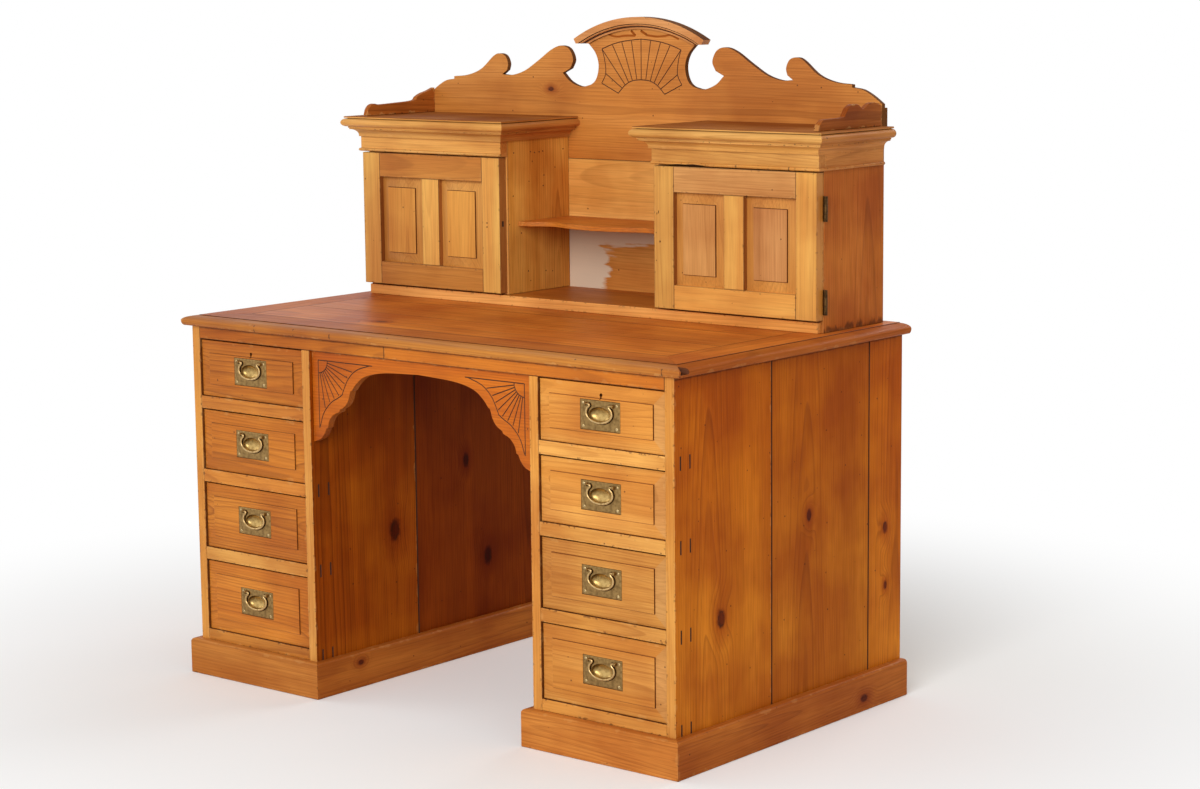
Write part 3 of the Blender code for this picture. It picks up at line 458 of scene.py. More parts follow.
@dataclass(frozen=True)
class ScrapedPine(Pine):
    """Pine where a pasted lining was scraped off: a chalky grey patch, torn along the grain, without gloss."""

    bare: str = "#d9c8b0"
    left: float = -0.215  # X where the patch starts
    end: float = 0.215  # X where the lining stopped
    right: float = -0.098  # X that it reaches at its foot
    foot: Flat = (-0.066, 0.886)  # X and height of a point on its lower edge farther right
    slope: float = 0.14  # rise of that edge along X

    def ageing(self, tree: Tree, colour: Feed, near: Feed, tone: Feed) -> Feed:
        """Age the wood, then lay the grey patch over it.

        Args:
            tree: Material's tree.
            colour: Clean wood.
            near: Distance to the nearest knot, in its radii.
            tone: The board's own lightness, from -1 to 1.

        Returns:
            The aged colour with its patch.
        """
        aged = super().ageing(tree, colour, near, tone)
        place = node(tree, "TexCoord").outputs["Object"]
        x, _, z = node(tree, "SeparateXYZ", [place]).outputs
        # Torn streaks are 10 mm high and 80 mm long.
        stretched = node(tree, "VectorMath", (place, (12.0, 1.0, 100.0)), operation="MULTIPLY")
        torn = node(tree, "TexNoise", {"Vector": stretched, "Scale": 1.0, "Detail": 3.0})
        start = self.foot[1] - self.slope * self.foot[0]
        edge = node(tree, "Math", (x, -self.slope, -start), operation="MULTIPLY_ADD")
        over = node(tree, "Math", (z, edge), operation="ADD")
        beside = node(tree, "Math", (self.right, x), operation="SUBTRACT")
        inside = node(tree, "Math", (over, beside), operation="MAXIMUM")
        ragged = node(tree, "Math", (torn, 0.09, -0.045), operation="MULTIPLY_ADD")
        inside = node(tree, "Math", (inside, ragged), operation="ADD")
        share = node(tree, "MapRange", (inside, -0.003, 0.009, 0.0, 0.88))
        for limit, test in ((self.left, "GREATER_THAN"), (self.end, "LESS_THAN")):
            here = node(tree, "Math", (x, limit), operation=test)
            share = node(tree, "Math", (share, here), operation="MULTIPLY")
        return node(tree, "Mix", {0: share, 6: aged, 7: linear(self.bare)}, data_type="RGBA").outputs[2]


@dataclass(frozen=True)
class AgedBrass(Finish):
    """Stamped sheet brass gone brown in the air: soft gloss, dull patches and rubbed high spots."""

    bright: str
    dull: str
    roughness: float = 0.36
    shade: float = 0.0  # painted shade under a cup's upper lip, darkest towards the upper left

    def look(self, tree: Tree) -> dict[str, object]:
        """Draw the brass.

        Args:
            tree: Material's tree.

        Returns:
            What goes into the shader's inputs, by name.
        """
        place = node(tree, "TexCoord").outputs["Object"]
        # Tarnish spreads in patches of about 7 mm, and hand scratches are drawn 2.5 mm apart to show.
        patch = node(tree, "TexNoise", {"Vector": place, "Scale": 140.0, "Detail": 4.0})
        layers = [(node(tree, "MapRange", (patch, 0.36, 0.66)), self.dull)]
        if self.shade:
            # The painted shade fades out over the cup's own 15 mm, from the upper left down.
            lip = node(tree, "VectorMath", (place, (-0.55, 0.0, 0.84)), operation="DOT_PRODUCT").outputs["Value"]
            layers.append((node(tree, "MapRange", (lip, 0.003, 0.016, 0.0, self.shade)), "#3d2c16"))
        colour = linear(self.bright)
        for share, tint in layers:
            colour = node(tree, "Mix", {0: share, 6: colour, 7: linear(tint)}, data_type="RGBA").outputs[2]
        stretched = node(tree, "VectorMath", (place, (60.0, 250.0, 400.0)), operation="MULTIPLY")
        scratch = node(tree, "TexNoise", {"Vector": stretched, "Scale": 1.0})
        bump = node(tree, "Bump", {"Height": scratch, "Strength": 0.12, "Distance": 0.0002})
        rough = node(tree, "MapRange", (patch, 0.3, 0.7, self.roughness - 0.08, self.roughness + 0.14))
        return {"Base Color": colour, "Roughness": rough, "Normal": bump, "Metallic": 1.0}


@dataclass(frozen=True)
class OldDirt(Finish):
    """Wax and dust packed into cuts, holes and gaps, nearly black to stand also for the shade in them: dry and without
    gloss.
    """

    colour: str
    crumb: str
    roughness: float = 0.85

    def look(self, tree: Tree) -> dict[str, object]:
        """Draw the dirt and its painted shade.

        Args:
            tree: Material's tree.

        Returns:
            What goes into the shader's inputs, by name.
        """
        place = node(tree, "TexCoord").outputs["Object"]
        # Crumbs of dust and wax are about 2 mm across.
        crumbs = node(tree, "TexNoise", {"Vector": place, "Scale": 500.0, "Detail": 2.0})
        colour = node(tree, "Mix", {0: crumbs, 6: linear(self.colour), 7: linear(self.crumb)}, data_type="RGBA")
        return {"Base Color": colour.outputs[2], "Roughness": self.roughness}


# Finishes of the boards, of what is packed into their cuts with painted shade, and of the brass
DRAWER_PINE = Pine("drawer_pine_shellacked", "#d99a49", "#a2611e", "#cb8535", specks=0.35, contrast=0.60)
# Darker, redder pine for the left pedestal's drawers: partly the boards' own tone, partly painted shade
LEFT_DRAWER_PINE = Pine("drawer_pine_redder", "#cb7d29", "#8a4b14", "#bb6b1d", specks=0.35, contrast=0.80)
# Paler, pinker pine for the right pedestal's drawers' right bevels: a painted sheen
BEVEL_SHEEN_PINE = Pine("drawer_pine_end_bevel", "#d59b56", "#a46c33", "#c68b48", contrast=0.45)
# Dark brown for gaps, steps, quirks, chips and cut-outs: some dust, darkened further as painted shade
DUST_AND_SHADE_PINE = Pine("shoulder_pine_dusty", "#7c461b", "#4f290d", "#693813")
DOOR_PINE = Pine("door_pine_shellacked", "#e7b25b", "#b27533", "#db9b4a", specks=0.45, contrast=0.45)
DOOR_RAIL_PINE = Pine("door_pine_redder", "#c8853a", "#92561f", "#ba742e", specks=0.35, contrast=0.40)
LEFT_PANEL_PINE = Pine("panel_pine_honey", "#e3a24a", "#ae6e29", "#d5903d", specks=0.35, contrast=0.40)
RIGHT_PANEL_PINE = Pine("panel_pine_pale", "#d8a05e", "#a26b34", "#c88e4f", specks=0.35, contrast=0.40)
OUTER_PANEL_PINE = Pine("panel_pine_redder", "#ca8f55", "#965f2f", "#bb7f47", specks=0.35, contrast=0.40)
# Darker pine for the door panels' bevels: painted shade
PANEL_BEVEL_SHADE_PINE = Pine("panel_pine_bevel", "#d7994c", "#a0662b", "#c8883f", contrast=0.35)
RAIL_PINE = Pine("rail_pine_shellacked", "#dfa351", "#a86621", "#d18d3b", specks=0.55)
# The same for the left pedestal's rails: partly their own tone, partly painted shade
LEFT_RAIL_PINE = Pine("rail_pine_redder", "#cf8634", "#94521a", "#c0742a", specks=0.55)
TOP_RAIL_PINE = Pine("top_rail_pine_orange", "#c7751f", "#8f4c12", "#b96618", specks=0.55,
                     grime=(0.0, 0.7535))
TOP_PINE = Pine("top_pine_waxed", "#dd802b", "#995019", "#cb6f22", knots=0.20, patina=0.60, gloss=0.12, contrast=0.75,
                roughness=0.42)
BORDER_PINE = Pine("top_border_pine_waxed", "#d17526", "#924b15", "#bf6720", patina=0.60, gloss=0.12)
EDGE_PINE = Pine("top_edge_pine_rubbed", "#c98130", "#935218", "#bb7024", specks=0.75, wear=0.36, gloss=0.22)
EDGE_END_PINE = Pine("top_edge_pine_redder", "#d27b33", "#924f19", "#be6826", wear=0.20, gloss=0.04)
SIDE_PINE = Pine("side_pine_shellacked", "#db8422", "#9c5410", "#ca7419", knots=0.30, specks=0.75, gloss=0.04,
                 contrast=0.65, patina=0.60, upper="#efd6a0", grime=(0.0, 0.7500))
# Darker pine for the kneehole's walls, and darker still for its boards towards the back: painted shade
KNEE_SHADE_PINE = Pine("kneehole_pine_dark", "#ad590d", "#703204", "#984908", knots=0.35, specks=0.45, roughness=0.5,
                 contrast=0.85, gloss=0.03, patina=0.60)
KNEE_REAR_SHADE_PINE = Pine("kneehole_pine_rear", "#8f3e06", "#602502", "#7d3204", knots=0.35, specks=0.45, roughness=0.5,
                      contrast=0.85, gloss=0.03, patina=0.60)
PLINTH_PINE = Pine("plinth_pine_shellacked", "#c88038", "#8b4b19", "#b66c29", knots=0.20, specks=0.5, gloss=0.10)
PLINTH_SIDE_PINE = Pine("plinth_pine_redder", "#bb6c26", "#7f3f12", "#a85a1c", knots=0.20, specks=0.5, gloss=0.06)
APRON_PINE = Pine("apron_pine_orange", "#c66a11", "#883f08", "#b85c0d", specks=0.5, grime=(0.0, 0.7283))
CABINET_PINE = Pine("cabinet_pine_shellacked", "#c4712a", "#864712", "#b3611e", knots=0.15, gloss=0.06, patina=0.60,
                    grime=(0.784, 1.1050), grime_rag=0.011)
# Much paler pine for the cabinet side inside the pigeonhole: painted light
INNER_LIT_PINE = Pine("cabinet_pine_clean", "#f5b556", "#ae6c24", "#e69d40", specks=0.9, gloss=0.08,
                  contrast=0.60, patina=0.60)
# Darker pine for edges that lie in shade and for the lines above and below a drawer's field: grime and painted shade
EDGE_GRIME_AND_SHADE_PINE = Pine("cabinet_pine_edge_grimy", "#ad6e33", "#754318", "#9a5d28", specks=0.6)
CORNICE_PINE = Pine("cornice_pine_rubbed", "#e1a85b", "#a56d30", "#d29547", contrast=0.45)
# Darker, redder pine for the cornice's ends and returns, which look sideways: painted shade
RETURN_PINE = Pine("cornice_pine_redder", "#cb8440", "#8f5420", "#b97232", gloss=0.08, contrast=0.45)
CABINET_TOP_PINE = Pine("cabinet_top_pine_dull", "#b06c32", "#7a4318", "#9c5922", gloss=0.03,
                        roughness=0.62, patina=0.55)
CREST_PINE = Pine("crest_pine_shellacked", "#d78f44", "#9a5a20", "#c87e35", specks=0.5, contrast=0.50)
# Paler, greyer pine for the arched moulding: a painted sheen
ARCH_PINE = Pine("crest_pine_dusty", "#e5a264", "#a66731", "#d69050", specks=0.5, contrast=0.50)
# Dark brown for the crest's sawn edges and ends: end grain, darkened further as painted shade
CREST_EDGE_PINE = Pine("crest_pine_sawn_edge", "#7a4a23", "#502e12", "#683c1a", gloss=0.02, roughness=0.6)
# Paler pine for a back board in the pigeonhole: painted light
BACK_PINE = Pine("backboard_pine_faded", "#eeb766", "#ad7534", "#dea150", knots=0.15, contrast=0.45)
SCRAPED_PINE = ScrapedPine("backboard_pine_scraped", "#e9a552", "#b0702e", "#da9142", contrast=0.45,
                           roughness=0.6)
# Paler pine for the base board's front and the pigeonhole's front edges: painted light
BASE_PINE = Pine("base_pine_shellacked", "#f3b162", "#b06f2e", "#e49b49", wear=0.20)
SHELF_PINE = Pine("shelf_pine_dark", "#d07e2b", "#8e4c18", "#bc6b20", wear=0.20)
GALLERY_PINE = Pine("gallery_pine_dark", "#b06326", "#70350c", "#9c4f18", gloss=0.06)
RAW_PINE = Pine("raw_pine_inside", "#d8b47e", "#a97e48", "#c99f66", knots=0.30, roughness=0.62, gloss=0.10)
DIRT_AND_SHADE = OldDirt("old_dirt_in_cuts", "#2c1307", "#4d2911")
# Dark fill for carved lines and quirks: old wax, and the shade in them painted
CARVING_WAX_AND_SHADE = OldDirt("old_wax_in_carving", "#3d1c0a", "#6b3917")
BRASS = AgedBrass("aged_brass_stamped", "#a2814f", "#7d6139")
# Paler brass inside the cup: painted light against the cup's own shade, with painted shade towards its upper left
CUP_BRASS = AgedBrass("aged_brass_cup", "#d2af6e", "#a88850", roughness=0.32, shade=0.62)
BAIL_BRASS = AgedBrass("aged_brass_rubbed", "#cfae79", "#a48552", roughness=0.36)
SCREW_BRASS = AgedBrass("aged_brass_screws", "#e6cc98", "#c3a56f", roughness=0.34)
# Near-black brass strip along the bail: its painted shadow
BAIL_SHADOW_BRASS = AgedBrass("aged_brass_tarnished", "#4e3a20", "#382814", roughness=0.55)
# Dark brown brass for the hinges: painted shade
HINGE_BRASS = AgedBrass("aged_brass_hinge_brown", "#5f4527", "#3c2a17", roughness=0.50)


def loft(rings: Sequence[Sequence[Solid]]) -> Shape:
    """Skin rings of equal length into one closed shape.

    Args:
        rings: Rings of points, from one end to the other.

    Returns:
        The shape, with both ends filled.
    """
    shape = bmesh.new()
    loops = [[shape.verts.new(point) for point in ring] for ring in rings]
    count = len(loops[0])
    for one, two in zip(loops, loops[1:]):
        for i in range(count):
            j = (i + 1) % count
            shape.faces.new((one[i], one[j], two[j], two[i]))
    shape.faces.new(loops[0][::-1])
    shape.faces.new(loops[-1])
    return shape


def prism(outline: Sequence[Flat], axis: Axis, low: float, high: float) -> Shape:
    """Extrude an outline along an axis.

    Args:
        outline: Points in the other two axes, in XYZ order.
        axis: Direction of the extrusion.
        low: Start along the axis.
        high: End along the axis.

    Returns:
        The closed shape.
    """
    k = axis.value
    return loft([[(*p[:k], value, *p[k:]) for p in outline] for value in (low, high)])


def box(low: Sequence[float], high: Sequence[float]) -> Shape:
    """Return a box between two corners."""
    (x0, y0, z0), (x1, y1, z1) = low, high
    return prism(((x0, y0), (x1, y0), (x1, y1), (x0, y1)), Axis.Z, z0, z1)


def ellipse(centre: Flat, radii: Flat, start: float, end: float, steps: int) -> list[Flat]:
    """Return points along an elliptical arc.

    Args:
        centre: Middle of the ellipse.
        radii: Half axes.
        start: First angle, in degrees.
        end: Last angle, in degrees.
        steps: Number of chords.

    Returns:
        The points, both ends included.
    """
    turns = [math.radians(start + (end - start) * i / steps) for i in range(steps + 1)]
    return [(centre[0] + radii[0] * math.cos(t), centre[1] + radii[1] * math.sin(t)) for t in turns]


def rod(axis: Axis, centre: Flat, radius: float, low: float, high: float, sides: int = 20) -> Shape:
    """Return a round bar along an axis; centre is its place in the other two axes."""
    return prism(ellipse(centre, (radius, radius), 0.0, 360.0 - 360.0 / sides, sides - 1), axis, low, high)


def smooth_run(points: Sequence[Flat], steps: int) -> list[Flat]:
    """Return a smooth curve that passes through points.

    Args:
        points: Points that the curve passes, from the first to the last.
        steps: Chords between two of them.

    Returns:
        The curve's points.
    """
    knots = [Vector(p) for p in points]
    padded = [2 * knots[0] - knots[1], *knots, 2 * knots[-1] - knots[-2]]
    run = []
    for a, b, c, d in zip(padded, padded[1:], padded[2:], padded[3:]):
        for i in range(steps):
            t = i / steps
            run.append(0.5 * (2 * b + (c - a) * t + (2 * a - 5 * b + 4 * c - d) * t**2
                              + (3 * b - a - 3 * c + d) * t**3))
    return [tuple(p) for p in run] + [tuple(knots[-1])]


def mirrored(half: Sequence[Flat]) -> list[Flat]:
    """Return an outline drawn from the middle to the right, with its left half added in front."""
    return [(-x, z) for x, z in half[:0:-1]] + list(half)


def strip(profile: Sequence[Flat], ends: Sequence[tuple[Flat, Flat]]) -> Shape:
    """Run a moulding's profile between two mitred or square ends.

    Args:
        profile: Closed profile of (reach, z).
        ends: For each end, its (x, y) at no reach, and what one unit of reach adds to it.

    Returns:
        The closed strip.
    """
    return loft([[(x + reach * dx, y + reach * dy, z) for reach, z in profile] for (x, y), (dx, dy) in ends])


def three_strips(profile: Sequence[Flat], x0: float, x1: float, y0: float, y1: float) -> list[tuple[Shape, Axis]]:
    """Run a profile round the front and both ends of a rectangle, mitred at the front corners.

    Args:
        profile: Closed profile of (reach, z).
        x0: Left side of the rectangle.
        x1: Right side.
        y0: Front.
        y1: Back, where the end strips stop square.

    Returns:
        The left, front and right strips, each with the axis that it runs along.
    """
    left, right = ((x0, y0), (-1.0, -1.0)), ((x1, y0), (1.0, -1.0))
    left_rear, right_rear = ((x0, y1), (-1.0, 0.0)), ((x1, y1), (1.0, 0.0))
    return [(strip(profile, (left_rear, left)), Axis.Y), (strip(profile, (left, right)), Axis.X),
            (strip(profile, (right, right_rear)), Axis.Y)]


def fielded(lowest: Flat, highest: Flat, steps: Sequence[Flat]) -> Shape:
    """Return a rectangular board that steps in from its edges to a raised field.

    Args:
        lowest: Lowest corner of (x, z).
        highest: Highest corner.
        steps: Inset from the edges and Y of each step, from the back to the field.

    Returns:
        The closed shape.
    """
    rings = []
    for inset, y in steps:
        a, b, c, d = lowest[0] + inset, highest[0] - inset, lowest[1] + inset, highest[1] - inset
        rings.append(((a, y, c), (b, y, c), (b, y, d), (a, y, d)))
    return loft(rings)


def headings(path: Sequence[Flat]) -> list[Vector]:
    """Return the direction of a path at each of its points.

    Args:
        path: Points of (x, z).

    Returns:
        A unit vector for each point.
    """
    ends = [path[0], *path, path[-1]]
    return [(Vector(after) - Vector(before)).normalized() for before, after in zip(ends, ends[2:])]


def v_cut(path: Sequence[Flat], face: float, width: float, depth: float) -> Shape:
    """Return the tool that cuts a V-shaped line into a face that looks to -Y.

    Args:
        path: Points of (x, z) that the line follows.
        face: Y of the face.
        width: Width of the line at the face.
        depth: Depth of the line.

    Returns:
        A closed shape to carve with.
    """
    reach = width / 2 * (depth + OVER) / depth
    rings = []
    for (x, z), along in zip(path, headings(path)):
        dx, dz = -along.y * reach, along.x * reach
        rings.append(((x + dx, face - OVER, z + dz), (x - dx, face - OVER, z - dz), (x, face + depth, z)))
    return loft(rings)


def mesh_of(name: str, shape: Shape) -> bpy.types.Mesh:
    """Turn a shape into a mesh.

    Args:
        name: Name of the mesh.
        shape: Shape, used up.

    Returns:
        The mesh.
    """
    mesh = bpy.data.meshes.new(name)
    shape.to_mesh(mesh)
    shape.free()
    return mesh


def stand(name: str, data: bpy.types.ID) -> bpy.types.Object:
    """Put a new object into the scene.

    Args:
        name: Name of the object.
        data: Its mesh, lamp or camera.

    Returns:
        The object, not moved yet.
    """
    obj = bpy.data.objects.new(name, data)
    bpy.context.scene.collection.objects.link(obj)
    return obj


def join(shapes: Iterable[Shape]) -> Shape:
    """Gather shapes into one, as separate shells.

    Args:
        shapes: Shapes, used up.

    Returns:
        The gathered shape.
    """
    whole = bmesh.new()
    for shape in shapes:
        mesh = mesh_of("shell", shape)
        whole.from_mesh(mesh)
        bpy.data.meshes.remove(mesh)
    return whole


def carve(shape: Shape, tool: Shape, cut_finish: int = 0) -> Shape:
    """Cut a shape with a tool.

    Args:
        shape: Closed shape, used up.
        tool: Closed shells that may cross each other, used up.
        cut_finish: Number of the finish that the cut's own faces take.

    Returns:
        What is left of the shape.
    """
    for face in tool.faces:
        face.material_index = cut_finish
    pair = []
    for name, part in (("shape", shape), ("tool", tool)):
        bmesh.ops.recalc_face_normals(part, faces=part.faces)
        obj = stand(name, mesh_of(name, part))
        for _ in range(cut_finish + 1):
            obj.data.materials.append(None)
        pair.append(obj)
    modifier = pair[0].modifiers.new("carve", "BOOLEAN")
    modifier.operation = "DIFFERENCE"
    modifier.solver = "EXACT"
    modifier.use_self = True
    modifier.object = pair[1]
    evaluated = pair[0].evaluated_get(bpy.context.evaluated_depsgraph_get())
    left = bmesh.new()
    left.from_mesh(evaluated.to_mesh())
    evaluated.to_mesh_clear()
    for obj in pair:
        mesh = obj.data
        bpy.data.objects.remove(obj, do_unlink=True)
        bpy.data.meshes.remove(mesh)
    return left


def soften(shape: Shape, width: float) -> None:
    """Round the sharp outer edges of a shape.

    Args:
        shape: Closed shape, changed in place.
        width: Width of the rounding.
    """
    bmesh.ops.recalc_face_normals(shape, faces=shape.faces)
    edges = [edge for edge in shape.edges if edge.is_manifold and edge.calc_face_angle_signed(0.0) > SHARP]
    bmesh.ops.bevel(shape, geom=edges, offset=width, offset_type="OFFSET", segments=BEVEL_STEPS, profile=0.5,
                    affect="EDGES", clamp_overlap=True)


class Piece:
    """One visible piece, gathered from boards or castings, that rides on a body of the frame."""

    TIMBER = 40.0  # length of the timber that a board is sawn out of
    PITH = (0.020, 0.090)  # how far from the pith
    LEAN = (0.6, 1.6)  # degrees that its grain runs off by, across the face and through it
    KNOT_RADII = (0.004, 0.009)
    AWAY = 9.0  # moves a knot clear of its board
    WITHIN = 0.9  # share of a board's half size that its pith and knots keep to
    ACROSS = 0.8  # the same, for knots across the grain

    def __init__(self, name: str, body: str, slot: str, *finishes: Finish) -> None:
        """Start a piece.

        Args:
            name: Name of the piece.
            body: Body that carries it.
            slot: Material slot of the record, handed on to seat.
            finishes: Its finishes, the usual one first.
        """
        self.name, self.body, self.slot, self.finishes = name, body, slot, finishes
        self.points: list[Solid] = []
        self.faces: list[list[int]] = []
        self.face_finish: list[int] = []
        names = ("grain", "rim", "half", "trait", "knot_a", "knot_b")
        self.marks: dict[str, list[float]] = {name: [] for name in names}

    def board(self, shape: Shape, grain: Axis, face: Axis, soft: float = 0.0009, finish: Finish | None = None,
              dirt: float = 0.0, wear: float = 1.0, tool: Shape | None = None, cut_finish: Finish | None = None,
              knots: Sequence[Solid] | None = None, paint: Callable[[Face], Finish] | None = None) -> None:
        """Add a board, and mark where each of its points lies in the wood.

        Args:
            shape: Closed shape in the desk's frame, used up.
            grain: Axis that the grain runs along.
            face: Axis that the board's face looks along.
            soft: Width of its softened edges, or 0 for none.
            finish: Its finish, or None for the piece's usual one.
            dirt: How dark its joints are.
            wear: How rubbed its arrises are.
            tool: Shells to carve out of it.
            cut_finish: Finish in the carving.
            knots: Places of its knots along and across the grain, with their radii, or None for its own luck.
            paint: Chooses the finish of each face, instead of one finish for all.
        """
        finish = finish or self.finishes[0]
        if soft:
            soften(shape, soft)
        shape.normal_update()
        for one in shape.faces:
            one.material_index = self.finishes.index(paint(one) if paint else finish)
        if tool:
            shape = carve(shape, tool, self.finishes.index(cut_finish))
        bmesh.ops.recalc_face_normals(shape, faces=shape.faces)
        shape.verts.index_update()
        first = len(self.points)
        for one in shape.faces:
            self.faces.append([first + vert.index for vert in one.verts])
            self.face_finish.append(one.material_index)
        chance = getattr(finish, "knots", 0.0) if knots is None else 0.0
        self.mark(shape, grain, face, (dirt, wear), knots or (), chance)
        shape.free()

    def mark(self, shape: Shape, grain: Axis, face: Axis, trait: Flat, knots: Sequence[Solid], chance: float) -> None:
        """Add a board's points, and mark where each of them lies in the wood.

        Args:
            shape: The finished board.
            grain: Axis that the grain runs along.
            face: Axis that the board's face looks along.
            trait: How dark its joints and how rubbed its arrises are.
            knots: Knots that have their place already.
            chance: Chance of each other knot.
        """
        luck = random.Random(f"{self.name} {len(self.points)}")
        lows = [min(v.co[k] for v in shape.verts) for k in range(3)]
        highs = [max(v.co[k] for v in shape.verts) for k in range(3)]
        middle = [(a + b) / 2 for a, b in zip(lows, highs)]
        half = [(b - a) / 2 for a, b in zip(lows, highs)]
        side = ({0, 1, 2} - {grain.value, face.value}).pop()
        start = luck.uniform(0.0, self.TIMBER)
        wide, narrow = self.WITHIN, self.ACROSS
        pith = luck.uniform(-wide, wide) * half[side], luck.choice((-1, 1)) * luck.uniform(*self.PITH)
        lean = [math.tan(math.radians(luck.uniform(-most, most))) for most in self.LEAN]
        tone = luck.uniform(-1.0, 1.0)
        spots = list(knots)
        while len(spots) < 2:
            along = luck.uniform(-wide, wide) * half[grain.value]
            over = luck.uniform(-narrow, narrow) * half[side]
            away = 0.0 if luck.random() < chance else self.AWAY
            spots.append((middle[grain.value] + along + away, middle[side] + over, luck.uniform(*self.KNOT_RADII)))
        for vert in shape.verts:
            u, v, w = (vert.co[k] - middle[k] for k in (grain.value, side, face.value))
            self.points.append(tuple(vert.co))
            self.marks["grain"] += (start + u, v - pith[0] + lean[0] * u, w - pith[1] + lean[1] * u)
            self.marks["rim"] += (vert.co[k] - middle[k] for k in range(3))
            self.marks["half"] += half
            self.marks["trait"] += (*trait, tone)
            for name, spot in zip(("knot_a", "knot_b"), spots):
                self.marks[name] += (vert.co[grain.value] - spot[0], vert.co[side] - spot[1], spot[2])

    def build(self, *stands_for: str) -> bpy.types.Object:
        """Turn the gathered boards into one object on its body.

        Args:
            stands_for: Nodes of the frame that this piece is shown instead of.

        Returns:
            The object.
        """
        mesh = bpy.data.meshes.new(self.name)
        mesh.from_pydata(self.points, [], self.faces)
        for name, values in self.marks.items():
            mesh.attributes.new(name, "FLOAT_VECTOR", "POINT").data.foreach_set("vector", values)
        for finish in self.finishes:
            mesh.materials.append(finish.material())
        mesh.polygons.foreach_set("material_index", self.face_finish)
        return seat(stand(self.name, mesh), self.body, self.slot, *stands_for)


def seat(obj: bpy.types.Object, body: str, slot: str, *stands_for: str) -> bpy.types.Object:
    """Shade a piece, put it on its body and report it.

    Args:
        obj: Piece, already in place.
        body: Body that carries it.
        slot: Material slot of the record; not used.
        stands_for: Nodes of the frame that it is shown instead of.

    Returns:
        The same piece.
    """
    obj.data.shade_smooth()
    obj.data.set_sharp_from_angle(angle=CREASE)
    normals = obj.modifiers.new("even_shading", "WEIGHTED_NORMAL")
    normals.keep_sharp = True
    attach(obj, body)
    if stands_for:
        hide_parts(*stands_for)
    log.info("%s on %s: %d faces", obj.name, body, len(obj.data.polygons))
    return obj


@dataclass
class DeskTop:
    """Boarded top inside a mitred border, with a thumb moulding on the front and the ends."""

    mould_w: float = 0.028
    tongue: float = 0.003  # how far the moulding reaches in under the border
    quirk: float = 0.0014  # step from the moulding up to the border
    nose_h: float = 0.011
    undercut: float = 0.006  # how far the nose rounds back to the underside
    nose_steps: int = 6
    mould_steps: int = 9
    border_end: float = 0.081
    border_front: float = 0.078
    boards: int = 4
    soft: float = 0.0006
    chip: tuple[Flat, ...] = (
        (0.003, 0.003), (0.003, 0.031), (-0.006, 0.028), (-0.011, 0.021), (-0.019, 0.013))  # from the right corner
    chip_floor: float = 0.006  # above the underside

    def profile(self, low: float, high: float) -> list[Flat]:
        """Return the moulding's closed profile of (reach, z).

        Args:
            low: Height of its underside.
            high: Height of the border's face.

        Returns:
            The points, from under the border round the nose and back.
        """
        nose, top, inner = low + self.nose_h, high - self.quirk, -self.mould_w - self.tongue
        under = ellipse((-self.undercut, nose), (self.undercut, self.nose_h), -90.0, 0.0, self.nose_steps)
        thumb = ellipse((-self.mould_w, nose), (self.mould_w, top - nose), 0.0, 90.0, self.mould_steps)
        return [(inner, low), *under, *thumb[1:], (inner, top)]

    def build(self) -> None:
        """Build the moulding, the border and the field."""
        low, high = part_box("desk_top")
        x0, x1, y0, y1 = low.x, high.x, low.y, high.y
        edge = Piece("desk_top_moulding", "desk", "top_pine", EDGE_PINE, DUST_AND_SHADE_PINE, BORDER_PINE, EDGE_END_PINE)
        strips = three_strips(self.profile(low.z, high.z), x0, x1, y0, y1)
        knock = prism([(x1 + x, y0 + y) for x, y in self.chip], Axis.Z, low.z + self.chip_floor, high.z + OVER)
        for (shape, grain), tool in zip(strips, (None, None, knock)):
            wood = EDGE_END_PINE if grain is Axis.Y else EDGE_PINE
            edge.board(shape, grain, Axis.Z, soft=0.0, wear=0.6, tool=tool, cut_finish=DUST_AND_SHADE_PINE,
                       paint=lambda one, wood=wood: BORDER_PINE if one.normal.z > FACING else wood)
        edge.build()
        left, right, front = x0 + self.mould_w, x1 - self.mould_w, y0 + self.mould_w
        a, b, c = left + self.border_end, right - self.border_end, front + self.border_front
        border = Piece("desk_top_border", "desk", "top_pine", BORDER_PINE)
        outlines = (((left, front), (a, c), (a, y1), (left, y1)), ((left, front), (right, front), (b, c), (a, c)),
                    ((right, front), (right, y1), (b, y1), (b, c)))
        for outline, grain in zip(outlines, (Axis.Y, Axis.X, Axis.Y)):
            border.board(prism(outline, Axis.Z, low.z, high.z), grain, Axis.Z, soft=self.soft, dirt=1.0, wear=0.0)
        border.build()
        field = Piece("desk_top_boards", "desk", "top_pine", TOP_PINE)
        step = (y1 - c) / self.boards
        for i in range(self.boards):
            shape = box((a + FIT, c + step * i + FIT, low.z), (b - FIT, c + step * (i + 1), high.z))
            field.board(shape, Axis.X, Axis.Z, soft=self.soft, dirt=0.9, wear=0.0)
        field.build("desk_top")


# Knots that show in the sides, board by board from the front: height, place along Y, and radius
SIDE_KNOTS: dict[tuple[Side, str], tuple[tuple[Solid, ...], ...]] = {
    (Side.RIGHT, "outer_side"): (((0.278, -0.230, 0.0120),), ((0.432, 0.059, 0.0075),),
                                 ((0.3635, 0.329, 0.0080), (0.242, 0.331, 0.0055))),
    (Side.LEFT, "inner_side"): (((0.316, -0.129, 0.0150),), ((0.210, 0.1675, 0.0120), (0.435, 0.100, 0.0090))),
}


